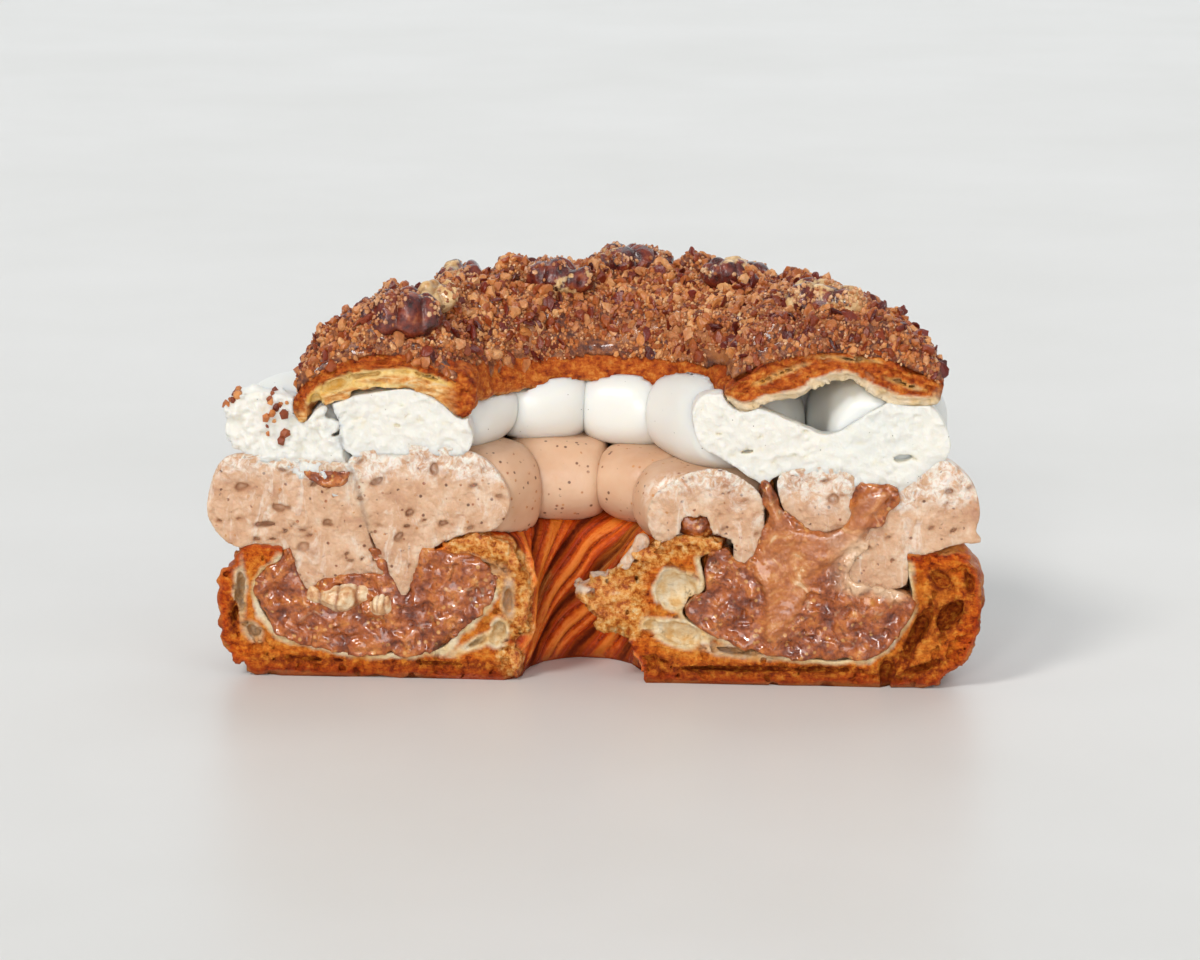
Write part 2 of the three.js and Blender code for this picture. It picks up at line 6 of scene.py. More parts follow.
import bpy
import numpy as np
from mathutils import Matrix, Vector


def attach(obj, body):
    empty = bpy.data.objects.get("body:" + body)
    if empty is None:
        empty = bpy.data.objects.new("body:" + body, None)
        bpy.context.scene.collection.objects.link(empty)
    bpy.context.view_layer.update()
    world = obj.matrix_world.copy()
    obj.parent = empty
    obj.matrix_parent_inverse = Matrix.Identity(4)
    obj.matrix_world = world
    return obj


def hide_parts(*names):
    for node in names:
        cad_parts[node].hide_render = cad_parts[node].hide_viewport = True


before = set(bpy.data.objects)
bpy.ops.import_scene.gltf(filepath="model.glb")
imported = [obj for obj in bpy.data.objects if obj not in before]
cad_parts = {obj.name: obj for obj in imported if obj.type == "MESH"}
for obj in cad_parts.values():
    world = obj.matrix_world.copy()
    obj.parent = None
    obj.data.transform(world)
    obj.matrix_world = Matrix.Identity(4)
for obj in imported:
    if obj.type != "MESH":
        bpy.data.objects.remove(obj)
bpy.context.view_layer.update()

backSwell = 0.02
ringShift = np.array([-2.3586, -29.7666, 0.0])
farOff = 50.0


# Helpers for numbers and fields.
def smooth(a, b, x):
    t = np.clip((x - a) / (b - a), 0, 1)
    return t * t * (3 - 2 * t)


def mix(a, b, t):
    return a + (b - a) * t


def smoothMax(a, b, k):
    h = np.clip(0.5 + 0.5 * (a - b) / k, 0, 1)
    return mix(b, a, h) + k * h * (1 - h)


def smoothMin(a, b, k):
    return -smoothMax(-a, -b, k)


lattice = np.random.default_rng(11).random(64 ** 3).astype(np.float32)


def noise(x, y, z, size, seed=0):
    # Smooth random values between -1 and 1 whose bumps are about `size` wide.
    parts = []
    for i, v in enumerate((x, y, z)):
        v = np.asarray(v, dtype=np.float32) / size + 13.7 * (i + 1) + 5.31 * seed
        whole = np.floor(v)
        f = v - whole
        k = whole.astype(np.int32)
        parts.append((k & 63, (k + 1) & 63, f * f * (3 - 2 * f)))
    (x0, x1, fx), (y0, y1, fy), (z0, z1, fz) = parts

    def at(i, j, k):
        return lattice[(i << 12) | (j << 6) | k]

    low = mix(mix(at(x0, y0, z0), at(x1, y0, z0), fx), mix(at(x0, y1, z0), at(x1, y1, z0), fx), fy)
    high = mix(mix(at(x0, y0, z1), at(x1, y0, z1), fx), mix(at(x0, y1, z1), at(x1, y1, z1), fx), fy)
    return 2 * mix(low, high, fz) - 1


def layered(x, y, z, size, octaves=3, seed=0):
    total = 0
    gain = 1
    whole = 0
    for i in range(octaves):
        total = total + gain * noise(x, y, z, size / 2 ** i, seed + i)
        whole += gain
        gain *= 0.5
    return total / whole


class Outline:
    # A closed outline in radius and height, drawn as a smooth curve through its points, which
    # can be asked how far any place is from it, with what is inside counted as negative.
    low = (-6.0, -6.0)
    high = (72.0, 62.0)
    cell = 0.25

    def __init__(self, points):
        p = np.array(points, dtype=float)
        before, after, next2 = np.roll(p, 1, 0), np.roll(p, -1, 0), np.roll(p, -2, 0)
        rows = []
        for t in (0, 0.25, 0.5, 0.75):
            rows.append(
                0.5 * (2 * p + (after - before) * t
                       + (2 * before - 5 * p + 4 * after - next2) * t ** 2
                       + (3 * p - before - 3 * after + next2) * t ** 3)
            )
        p = np.stack(rows, 1).reshape(-1, 2)
        gr = np.arange(self.low[0], self.high[0], self.cell)
        gz = np.arange(self.low[1], self.high[1], self.cell)
        r, z = np.meshgrid(gr, gz, indexing="ij")
        best = np.full(r.shape, 1e9)
        inside = np.zeros(r.shape, dtype=bool)
        for (r0, z0), (r1, z1) in zip(p, np.roll(p, -1, 0)):
            dr, dz = r1 - r0, z1 - z0
            t = np.clip(((r - r0) * dr + (z - z0) * dz) / (dr * dr + dz * dz + 1e-12), 0, 1)
            best = np.minimum(best, (r - r0 - t * dr) ** 2 + (z - z0 - t * dz) ** 2)
            if z0 != z1:
                crosses = ((z0 > z) != (z1 > z)) & (r < r0 + (z - z0) * dr / dz)
                inside ^= crosses
        self.grid = np.where(inside, -1, 1) * np.sqrt(best)

    def at(self, r, z):
        u = np.clip((r - self.low[0]) / self.cell, 0, self.grid.shape[0] - 1.001)
        v = np.clip((z - self.low[1]) / self.cell, 0, self.grid.shape[1] - 1.001)
        i, j = u.astype(np.int32), v.astype(np.int32)
        u, v = u - i, v - j
        g = self.grid
        return mix(mix(g[i, j], g[i + 1, j], u), mix(g[i, j + 1], g[i + 1, j + 1], u), v)


def ringOf(x, y):
    y = np.maximum(y, 0)
    return np.arctan2(y, x), np.hypot(x, y)


def ellipsoid(x, y, z, centre, half):
    k = np.sqrt(
        ((x - centre[0]) / half[0]) ** 2 + ((y - centre[1]) / half[1]) ** 2
        + ((z - centre[2]) / half[2]) ** 2
    )
    return (k - 1) * min(half)


def tilted(across, up, tilt):
    # The same place seen along and over an axis that is tilted in the cut.
    return across * math.cos(tilt) + up * math.sin(tilt), up * math.cos(tilt) - across * math.sin(tilt)


# Helpers that make meshes.
def spaced(low, high, step, fineUntil=None, fine=None):
    if fineUntil is None:
        return np.arange(low, high + step, step)
    values = [low]
    while values[-1] < high:
        share = smooth(fineUntil, fineUntil + 12, values[-1])
        values.append(values[-1] + float(mix(fine, step, share)))
    return np.array(values)


def gridOf(look):
    # The places where a piece's field is asked: finer near the cut, where that is wanted.
    (x0, x1), (y0, y1), (z0, z1) = look["box"]
    step, fineUntil, share = look["behind"]
    grid = look["grid"]
    return spaced(x0, x1, grid), spaced(y0, y1, step, fineUntil, grid * share), spaced(z0, z1, grid)


corners = np.array([[i, j, k] for i in (0, 1) for j in (0, 1) for k in (0, 1)])
cellEdges = [(a, b) for a in range(8) for b in range(a + 1, 8) if abs(corners[a] - corners[b]).sum() == 1]


def surfaceOf(field, xs, ys, zs, band=3.0, polish=2):
    # The surface where the field is zero, as points and four-sided faces. The field is first
    # asked at every other place, then at all places that are near the surface.
    shape = (len(xs), len(ys), len(zs))
    cx, cy, cz = np.meshgrid(xs[::2], ys[::2], zs[::2], indexing="ij")
    coarse = field(cx, cy, cz)
    values = coarse.repeat(2, 0).repeat(2, 1).repeat(2, 2)[: shape[0], : shape[1], : shape[2]].copy()
    near = np.abs(values) < band
    i, j, k = np.nonzero(near)
    values[near] = field(xs[i], ys[j], zs[k])
    inside = values < 0
    count = sum(
        inside[a : shape[0] - 1 + a, b : shape[1] - 1 + b, c : shape[2] - 1 + c].astype(np.int8)
        for a, b, c in corners
    )
    i, j, k = np.nonzero((count > 0) & (count < 8))
    index = np.full(count.shape, -1, dtype=np.int64)
    index[i, j, k] = np.arange(len(i))
    at = [values[i + a, j + b, k + c] for a, b, c in corners]
    place = [
        np.stack([xs[i + a], ys[j + b], zs[k + c]], 1) for a, b, c in corners
    ]
    points = np.zeros((len(i), 3))
    hits = np.zeros(len(i))
    for a, b in cellEdges:
        crossing = (at[a] < 0) != (at[b] < 0)
        t = np.where(crossing, at[a] / np.where(crossing, at[a] - at[b], 1), 0)
        points += np.where(crossing[:, None], mix(place[a], place[b], t[:, None]), 0)
        hits += crossing
    points /= hits[:, None]
    faces = []
    for axis in range(3):
        u, v = (axis + 1) % 3, (axis + 2) % 3
        first = [slice(1, n - 1) for n in shape]
        second = [slice(1, n - 1) for n in shape]
        first[axis] = slice(0, shape[axis] - 1)
        second[axis] = slice(1, shape[axis])
        change = inside[tuple(first)].astype(np.int8) - inside[tuple(second)].astype(np.int8)
        for sign in (1, -1):
            place = np.stack(np.nonzero(change == sign), 1)
            place[:, u] += 1
            place[:, v] += 1
            ring = []
            for du, dv in ((1, 1), (0, 1), (0, 0), (1, 0)):
                corner = place.copy()
                corner[:, u] -= du
                corner[:, v] -= dv
                ring.append(index[corner[:, 0], corner[:, 1], corner[:, 2]])
            quad = np.stack(ring if sign > 0 else ring[::-1], 1)
            faces.append(quad[(quad >= 0).all(1)])
    faces = np.concatenate(faces)
    for _ in range(polish):
        value, slope = fieldAndSlope(field, points)
        size = np.maximum((slope ** 2).sum(1), 0.25)
        points -= np.clip(0.8 * value / size, -0.25, 0.25)[:, None] * slope
    return points, faces


def fieldAndSlope(field, p, e=0.15):
    x, y, z = p[:, 0], p[:, 1], p[:, 2]
    slope = np.stack(
        [
            field(x + e, y, z) - field(x - e, y, z),
            field(x, y + e, z) - field(x, y - e, z),
            field(x, y, z + e) - field(x, y, z - e),
        ],
        1,
    ) / (2 * e)
    return field(x, y, z), slope


def facing(field, p):
    slope = fieldAndSlope(field, p)[1]
    return slope / np.maximum(np.sqrt((slope ** 2).sum(1)), 0.01)[:, None]


def inFrame(points):
    # From flat ring millimetres to the frame's metres.
    angle = ringOf(points[:, 0], points[:, 1])[0]
    moved = points.copy()
    moved[:, 2] *= 1 + backSwell * np.sin(angle)
    return (moved + ringShift) / 1000


def makeMesh(name, points, faces, smoothed=True, values=None):
    mesh = bpy.data.meshes.new(name)
    sides = faces.shape[1]
    mesh.vertices.add(len(points))
    mesh.vertices.foreach_set("co", np.ascontiguousarray(points, dtype=np.float32).ravel())
    mesh.loops.add(faces.size)
    mesh.loops.foreach_set("vertex_index", np.ascontiguousarray(faces, dtype=np.int32).ravel())
    mesh.polygons.add(len(faces))
    mesh.polygons.foreach_set("loop_start", np.arange(0, faces.size, sides, dtype=np.int32))
    mesh.polygons.foreach_set("use_smooth", np.full(len(faces), smoothed))
    mesh.update(calc_edges=True)
    mesh.validate()
    for key, value in (values or {}).items():
        mesh.attributes.new(key, "FLOAT", "POINT").data.foreach_set(
            "value", np.ascontiguousarray(value, dtype=np.float32)
        )
    thing = bpy.data.objects.new(name, mesh)
    bpy.context.scene.collection.objects.link(thing)
    return thing


def joined(parts):
    # Several sets of points, faces and values as one.
    points, faces, values = [], [], {}
    start = 0
    for p, f, v in parts:
        points.append(p)
        faces.append(f + start)
        start += len(p)
        for key, value in v.items():
            values.setdefault(key, []).append(value)
    return np.concatenate(points), np.concatenate(faces), {k: np.concatenate(v) for k, v in values.items()}


def finished(thing, material, slot, *nodes):
    thing.data.materials.clear()
    thing.data.materials.append(material)
    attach(thing, "root")
    if nodes:
        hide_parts(*nodes)
    print(thing.name, "triangles", sum(len(f.vertices) - 2 for f in thing.data.polygons))


# Helpers that make finishes.
def colour(code):
    # A screen colour such as "c8a070" as the linear values that a shader takes.
    channels = [int(code[i : i + 2], 16) / 255 for i in (0, 2, 4)]
    return tuple(c / 12.92 if c <= 0.04045 else ((c + 0.055) / 1.055) ** 2.4 for c in channels) + (1,)


class Finish:
    def __init__(self, name, **constants):
        self.material = bpy.data.materials.new(name)
        self.material.use_nodes = True
        self.tree = self.material.node_tree
        self.shader = self.tree.nodes["Principled BSDF"]
        for key, value in constants.items():
            self.shader.inputs[key.replace("_", " ")].default_value = value
        self.place = self.tree.nodes.new("ShaderNodeTexCoord").outputs["Object"]

    def node(self, kind, inputs=(), **settings):
        made = self.tree.nodes.new("ShaderNode" + kind)
        for key, value in settings.items():
            setattr(made, key, value)
        for key, value in dict(inputs).items():
            self.feed(made.inputs[key], value)
        return made

    def feed(self, socket, value):
        if isinstance(value, bpy.types.NodeSocket):
            self.tree.links.new(value, socket)
        elif value is not None:
            socket.default_value = value

    def value(self, name):
        return self.node("Attribute", attribute_name=name).outputs["Fac"]

    def noise(self, millimetres, detail, roughness=0.55, distortion=0.0, stretch=None):
        place = self.place
        if stretch:
            place = self.node("Mapping", {"Vector": place, "Scale": stretch}).outputs[0]
        return self.node(
            "TexNoise",
            {"Vector": place, "Scale": 1000 / millimetres, "Detail": detail,
             "Roughness": roughness, "Distortion": distortion},
        ).outputs["Fac"]

    def streaks(self, across, along, detail, roughness):
        # Noise drawn out along a direction that the mesh's own values give.
        place = self.node("CombineXYZ", {"X": across, "Y": along}).outputs[0]
        return self.node(
            "TexNoise", {"Vector": place, "Scale": 1.0, "Detail": detail, "Roughness": roughness}
        ).outputs["Fac"]

    def cells(self, millimetres):
        # How far off the middle of the nearest grain is.
        return self.node(
            "TexVoronoi", {"Vector": self.place, "Scale": 1000 / millimetres}
        ).outputs["Distance"]

    def ramp(self, value, stops):
        made = self.node("ValToRGB", {"Fac": value})
        band = made.color_ramp
        while len(band.elements) < len(stops):
            band.elements.new(0.5)
        for element, (position, shade) in zip(band.elements, stops):
            element.position = position
            element.color = colour(shade) if isinstance(shade, str) else (shade, shade, shade, 1)
        return made.outputs["Color"]

    def spread(self, value, low, high, toLow=0.0, toHigh=1.0):
        return self.node(
            "MapRange",
            {"Value": value, "From Min": low, "From Max": high, "To Min": toLow, "To Max": toHigh},
        ).outputs["Result"]

    def math(self, operation, a, b):
        made = self.node("Math", operation=operation)
        for socket, value in zip(made.inputs, (a, b)):
            self.feed(socket, value)
        return made.outputs[0]

    def times(self, a, b):
        return self.math("MULTIPLY", a, b)

    def plus(self, a, b):
        return self.math("ADD", a, b)

    def swing(self, value, reach=1.0):
        # A value between 0 and 1 drawn out to between -reach and reach.
        return self.spread(value, 0, 1, -reach, reach)

    def blend(self, share, a, b, mode="MIX"):
        made = self.node("Mix", data_type="RGBA", blend_type=mode)
        self.feed(made.inputs["Factor"], share)
        for key, value in (("A", a), ("B", b)):
            socket = [s for s in made.inputs if s.name == key and s.type == "RGBA"][0]
            self.feed(socket, colour(value) if isinstance(value, str) else value)
        return [s for s in made.outputs if s.type == "RGBA"][0]

    def bump(self, height, strength, millimetres, normal=None):
        return self.node(
            "Bump",
            {"Height": height, "Strength": strength, "Distance": millimetres / 1000, "Normal": normal},
        ).outputs["Normal"]

    def end(self, **sockets):
        for key, value in sockets.items():
            self.feed(self.shader.inputs[key.replace("_", " ")], value)
        return self.material


# Camera, light and floor.
cameraView = {
    "target": (-0.00145, 0.0, 0.0255), "azimuth": 4.4, "elevation": 12.5, "distance": 0.70,
    "focalPixels": 4364, "imageWidth": 1200, "sensor": 36.0,
}
azimuth = math.radians(cameraView["azimuth"])
elevation = math.radians(cameraView["elevation"])
forward = Vector(
    (-math.sin(azimuth) * math.cos(elevation), math.cos(azimuth) * math.cos(elevation), -math.sin(elevation))
)
lens = bpy.data.cameras.new("camera")
lens.sensor_width = cameraView["sensor"]
lens.lens = cameraView["focalPixels"] * cameraView["sensor"] / cameraView["imageWidth"]
lens.clip_start = 0.01
lens.clip_end = 20
camera = bpy.data.objects.new("camera", lens)
camera.location = Vector(cameraView["target"]) - forward * cameraView["distance"]
camera.rotation_euler = forward.to_track_quat("-Z", "Y").to_euler()
bpy.context.scene.collection.objects.link(camera)
bpy.context.scene.camera = camera

floorLook = {
    "colour": "dad8d4",
    "roughness": 0.4,
    "wall": "e2eaf0",
    "wallDistance": 2.4,
    "halfWidth": 3,
    "wallLean": 0.02,
}
lightLook = {
    "key": ((-0.55, -0.70, 0.95), 0.26, 1.35, (1.0, 0.98, 0.95)),
    "fill": ((0.95, -0.75, 0.55), 0.9, 0.50, (1.0, 0.99, 0.98)),
    "front": ((0.10, -1.3, 0.22), 0.5, 0.95, (1.0, 0.985, 0.965)),
    "back": ((0.2, 0.8, 0.9), 0.8, 0.85, (1.0, 1.0, 1.0)),
    "glint": ((-0.18, -1.0, 0.42), 0.15, 0.70, (1.0, 1.0, 1.0)),
    "world": (0.98, 0.99, 1.0, 0.31),
}


def plainQuad(name, points, material):
    thing = makeMesh(name, np.array(points, dtype=float), np.array([[0, 1, 2, 3]]), False)
    thing.data.materials.append(material)
    return thing


paint = Finish("floor_finish", Roughness=floorLook["roughness"])
floorFinish = paint.end(
    Base_Color=paint.ramp(paint.noise(90, 3), [(0.3, floorLook["colour"]), (0.7, "e0dedb")])
)
wide, far, lean = floorLook["halfWidth"], floorLook["wallDistance"], floorLook["wallLean"]
plainQuad("floor", [(-wide, -wide, 0), (wide, -wide, 0), (wide, far, 0), (-wide, far, 0)], floorFinish)
paint = Finish("wall_finish", Roughness=0.9)
wallFinish = paint.end(Base_Color=colour(floorLook["wall"]))
plainQuad(
    "wall", [(-wide, far, 0), (wide, far, 0), (wide, far + lean, wide), (-wide, far + lean, wide)], wallFinish
)

for name in ("key", "fill", "front", "back", "glint"):
    where, softness, power, tint = lightLook[name]
    lamp = bpy.data.lights.new(name + "_light", "SUN")
    lamp.angle = softness
    lamp.energy = power
    lamp.color = tint
    holder = bpy.data.objects.new(name + "_light", lamp)
    holder.location = where
    holder.rotation_euler = (Vector((0, 0, 0.03)) - Vector(where)).to_track_quat("-Z", "Y").to_euler()
    bpy.context.scene.collection.objects.link(holder)
world = bpy.data.worlds.new("soft_world")
world.use_nodes = True
world.node_tree.nodes["Background"].inputs[0].default_value = lightLook["world"][:3] + (1,)
world.node_tree.nodes["Background"].inputs[1].default_value = lightLook["world"][3]
bpy.context.scene.world = world
bpy.context.scene.view_settings.view_transform = "Standard"
print("stage set")

# Base ring.
baseLook = {
    "outer": 59.2, "outerLean": 3.1, "inner": 8.3, "innerLean": 0.4, "deepen": 5.4,
    "strandsOutside": 7, "strandsInside": -5.25, "slope": 0.11, "outsideSlope": 0.9, "strandDepth": 2.6,
    "grooveDepth": 1.0, "layerDepth": 0.2, "porousDepth": 1.0,
    "grid": 0.38, "behind": (0.55, 3, 0.9), "box": ((-59.5, 64.5), (-1.2, 62), (-0.8, 25.4)),
}
baseRight = Outline([
    (11.5, 21.0), (9.4, 19.6), (7.8, 18.0), (8.1, 15.5), (7.7, 13.1), (7.3, 9.9), (7.5, 6.8),
    (7.7, 5.2), (9.2, 3.4), (10.0, 0.0), (10.6, -0.1), (24.7, -0.1), (41.7, 0.0), (54.8, 0.3),
    (57.1, 2.8), (59.9, 5.4), (61.1, 8.5), (62.6, 12.3), (62.3, 17.4), (61.1, 20.2), (58.5, 22.9),
    (54.8, 22.1), (50.1, 21.5), (43.2, 22.1), (33.9, 22.6), (27.0, 22.6), (21.9, 22.2),
    (18.4, 23.0), (14.6, 22.7),
])
baseLeft = Outline([
    (52.6, 21.0), (54.1, 18.3), (55.8, 15.5), (56.1, 12.3), (56.4, 9.1), (55.6, 5.7),
    (54.3, 3.0), (52.1, 0.8), (49.2, 0.0), (38.7, 0.0), (24.8, 0.0), (11.0, 0.0), (9.8, 0.6), (10.2, 4.4),
    (9.8, 7.3), (8.8, 9.5), (7.8, 13.6), (8.1, 15.9), (10.1, 19.2), (10.9, 20.8), (14.0, 21.2),
    (15.5, 23.2), (19.4, 21.8), (23.2, 20.5), (27.8, 21.1), (37.1, 21.8), (45.9, 20.8), (49.2, 21.6),
])
baseMiddle = Outline([
    (52, 0), (55, 1.2), (57.6, 4.5), (59.2, 9.5), (59.2, 14), (57.8, 18.2), (55.3, 21.0),
    (52.5, 21.9), (48.6, 21.2), (40, 22.5), (25, 22.5), (19.5, 22.3), (15.5, 22.6), (11, 21.4), (8.8, 18.8),
    (8.0, 14), (8.1, 9), (8.8, 4.5), (9.6, 0.3), (10.4, 0),
])
troughRight = Outline([
    (21.9, 21.5), (18.8, 20.2), (19.1, 17.8), (19.4, 15.1), (16.9, 12.9), (16.0, 11.0),
    (18.5, 8.8), (22.3, 7.3), (28.5, 5.2), (37.0, 4.3), (44.7, 5.0), (49.1, 8.8), (51.2, 13.6),
    (50.6, 17.8), (50.1, 22.6), (47.3, 30), (27.8, 30), (22.6, 26),
])
troughLeft = Outline([
    (45.9, 21.8), (46.4, 18.6), (49.2, 16.7), (50.1, 13.6), (49.3, 9.9), (46.4, 6.8),
    (40.2, 4.7), (34.0, 3.9), (27.8, 3.9), (22.1, 4.7), (19.4, 6.9), (15.0, 11.2), (12.9, 13.9),
    (13.2, 16.6), (16.7, 19.4), (20.4, 19.9), (23.0, 20.2), (23.8, 24.3), (27, 30), (44.8, 30),
])
troughMiddle = Outline([
    (47.6, 24), (48.4, 18.8), (50.4, 15), (50, 10.5), (47, 6.8), (40, 4.6), (28, 4.4), (21, 6),
    (16, 9.6), (14.4, 13.6), (15.6, 17.4), (19, 19.6), (22, 20.4), (23, 24), (26, 30), (44, 30),
])
# Air pockets that the knife opened: side, radius, height, half width, height, depth, tilt, and
# whether they go through to dark crust (1) or are lined with pale crumb (0).
airPockets = [
    (1, 15.0, 15.0, 3.3, 3.0, 3.0, 0.2, 0), (1, 15.4, 8.0, 4.6, 1.8, 2.6, -0.25, 0),
    (1, 23.6, 5.4, 3.6, 0.45, 2.5, -0.12, 0.4), (1, 30.4, 2.5, 14.5, 0.42, 2.6, 0.01, 1),
    (1, 51.9, 8.2, 5.0, 1.25, 4.5, 1.1, 1), (1, 57.0, 11.4, 3.1, 1.7, 4.0, 0.9, 1),
    (1, 55.6, 17.2, 1.7, 1.0, 2.4, -0.5, 1), (1, 47.4, 1.8, 1.3, 2.4, 3.5, -0.2, 1),
    (1, 53.0, 3.2, 2.6, 0.5, 2.5, 0.35, 1), (1, 59.9, 16.6, 0.7, 1.8, 2.0, 0.2, 1),
    (1, 12.4, 3.6, 1.6, 0.35, 1.8, -0.2, 1), (-1, 12.6, 7.4, 1.3, 1.9, 3.2, 0.1, 0),
    (-1, 52.9, 13.4, 0.6, 2.8, 2.5, 0.0, 0.3), (-1, 50.9, 6.9, 1.5, 1.0, 2.5, 0.7, 0.4),
    (-1, 16.6, 5.6, 2.0, 0.45, 2.0, -0.5, 0), (-1, 43.0, 2.7, 4.0, 0.35, 2.0, 0.0, 1),
    (-1, 11.0, 12.6, 0.5, 1.6, 2.0, 0.0, 0.5), (-1, 53.9, 9.4, 0.5, 1.7, 2.0, 0.1, 1),
    (-1, 22.0, 2.4, 4.0, 0.3, 1.8, 0.0, 1), (-1, 14.6, 18.4, 1.6, 0.4, 1.8, 0.3, 0.6),
]
# Torn crumb that stands into the hole at the cuts: place, half width, depth, half height.
tornFlakes = [
    (5.6, 12.6, 4.4, 2.4, 2.7), (2.3, 14.6, 2.7, 1.7, 1.3), (7.4, 9.6, 2.6, 2.4, 2.4),
    (5.0, 16.2, 2.6, 1.6, 0.9), (1.4, 13.2, 1.5, 1.2, 0.8), (4.6, 9.0, 1.6, 1.4, 0.9),
    (7.6, 17.6, 1.8, 1.6, 1.2), (10.6, 20.6, 2.0, 1.5, 1.0), (-9.9, 14.6, 2.0, 1.7, 2.9),
    (-10.2, 10.4, 1.9, 1.7, 2.3), (-10.8, 17.9, 2.0, 1.7, 1.6), (-12.6, 20.4, 2.2, 1.5, 1.3),
    (-9.6, 8.4, 1.4, 1.5, 1.0), (-10.6, 3.2, 1.3, 1.6, 1.6), (13.8, 21.8, 1.8, 1.3, 0.9),
    (16.8, 22.2, 1.6, 1.3, 0.8), (20.3, 21.7, 1.9, 1.4, 1.0), (-15.6, 21.6, 1.8, 1.3, 1.0),
    (-18.8, 21.2, 1.6, 1.3, 0.8),
]


def baseSides(angle):
    outer = baseLook["outer"] + baseLook["outerLean"] * np.cos(angle)
    inner = baseLook["inner"] + baseLook["innerLean"] * np.cos(angle)
    return inner + baseLook["deepen"] * np.sin(angle) ** 2, outer


def sweptOutlines(angle, radius, height, right, middle, left, sides, ends=0.34):
    # Distance to a section that goes from one outline to another round the ring.
    inner, outer = sides(angle)
    innerR, outerR = sides(0.0)
    innerM, outerM = sides(math.pi / 2)
    innerL, outerL = sides(math.pi)
    share = (radius - inner) / (outer - inner)
    bend = baseMiddleShift if sides is baseSides else 0.0
    value = middle.at(innerM - bend + share * (outerM - innerM + bend), height)
    weight = smooth(ends, 0.05, angle)
    value = mix(value, right.at(innerR + share * (outerR - innerR), height), weight)
    weight = smooth(math.pi - ends, math.pi - 0.05, angle)
    return mix(value, left.at(innerL + share * (outerL - innerL), height), weight)


baseMiddleShift = baseLook["deepen"]


def strandPhase(angle, height, count, spread=1.0):
    wander = 0.10 * noise(angle * 20, height, 0 * height, 7, 3)
    return count * angle / math.pi - baseLook["slope"] * height * spread + wander


def grooveAt(angle, height, phase):
    # Nought in the narrow grooves along a strand.
    return np.abs(np.sin(math.pi * (phase * 3 + 0.2 + 0.12 * noise(angle * 20, height, 0 * height, 4, 4))))


def strandsAt(angle, height, count, spread=1.0):
    # Twisted strands of dough on a wall: how high the relief is, and how near a strand's crest.
    phase = strandPhase(angle, height, count, spread)
    crest = np.abs(np.sin(math.pi * phase))
    fade = smooth(0.3, 4, height) * smooth(22.5, 18, height)
    fine = grooveAt(angle, height, phase)
    layers = np.abs(np.sin(math.pi * phase * 13))
    flaky = layered(phase * 16, height * 0.5, 0 * height, 1.6, 2, 7)
    relief = baseLook["strandDepth"] * (crest ** 0.7 - 0.62)
    relief = relief - baseLook["grooveDepth"] * (1 - fine) ** 1.8 * 1.7 * smooth(0.2, 0.5, crest)
    relief = relief - (baseLook["layerDepth"] * (1 - layers) + 0.35 * flaky) * smooth(0.62, 0.3, crest)
    return fade * relief, crest * fade


def baseShell(x, y, z):
    angle, radius = ringOf(x, y)
    value = sweptOutlines(angle, radius, z, baseRight, baseMiddle, baseLeft, baseSides)
    inner, outer = baseSides(angle)
    settled = np.minimum(smooth(0.02, 0.24, angle), smooth(math.pi - 0.02, math.pi - 0.24, angle))
    reliefOut = strandsAt(angle, z, baseLook["strandsOutside"], baseLook["outsideSlope"])[0]
    reliefIn, crestIn = strandsAt(angle, z, baseLook["strandsInside"])
    onOuter = smooth(outer - 9, outer - 5, radius) * mix(0.3, 1, settled)
    onInner = smooth(inner + 7, inner + 4, radius) * mix(0.15, 1, settled)
    value = value - 0.8 * reliefOut * onOuter - reliefIn * onInner
    value = value - 0.55 * noise(x, y, z, 9, 1) * smooth(0, 3, z)
    nearCut = smooth(5, 0.5, y)
    quiet = (1 - nearCut) * onInner * smooth(0.35, 0.6, crestIn)
    ragged = mix(0.24, 0.75, nearCut) * (1 - 0.8 * quiet)
    value = value - ragged * layered(x, y, z, 1.9, 2, 2) * smooth(0, 1.0, z)
    crumbling = np.maximum(layered(x, y, z, 2.8, 2, 10), 0) * nearCut
    return value + 1.1 * crumbling * smooth(0.4, 1.6, z)


def troughAt(x, y, z):
    angle, radius = ringOf(x, y)
    value = sweptOutlines(angle, radius, z, troughRight, troughMiddle, troughLeft, baseSides)
    return value - 0.3 * noise(x, y, z, 4, 8)


def pocketsAt(x, y, z):
    # How far off the nearest pocket is, and how dark that pocket is.
    best = np.full(np.shape(x), farOff)
    dark = np.zeros(np.shape(x))
    wobble = 0.75 * layered(x, y, z, 2.8, 3, 5)
    for side, r, h, a, b, depth, tilt, shade in airPockets:
        along, over = tilted(side * x - r, z - h, tilt)
        value = ellipsoid(along, y, over, (0, -0.2, 0), (a, depth, b)) + wobble * min(1, 1.4 * min(a, b))
        dark = np.where(value < best, shade, dark)
        best = np.minimum(best, value)
    return best, dark


def flakesAt(x, y, z):
    best = np.full(np.shape(x), farOff)
    for r, h, wide, depth, high in tornFlakes:
        best = np.minimum(best, ellipsoid(x, y, z, (r, depth * 0.8, h), (wide, depth, high)))
    crags = np.abs(layered(x, y, z, 2.0, 2, 9))
    return best + 1.5 * crags - 0.55


def baseField(x, y, z):
    value = np.minimum(baseShell(x, y, z), flakesAt(x, y, z))
    value = np.maximum(value, -troughAt(x, y, z))
    porous = smooth(0.0, 0.5, layered(x, y, z, 1.35, 2, 6)) * baseLook["porousDepth"]
    value = np.maximum(value, 0.05 + porous * smooth(0.2, 1.4, troughAt(x, y, z)) - y)
    value = np.maximum(value, -pocketsAt(x, y, z)[0])
    return np.maximum(value, -z)


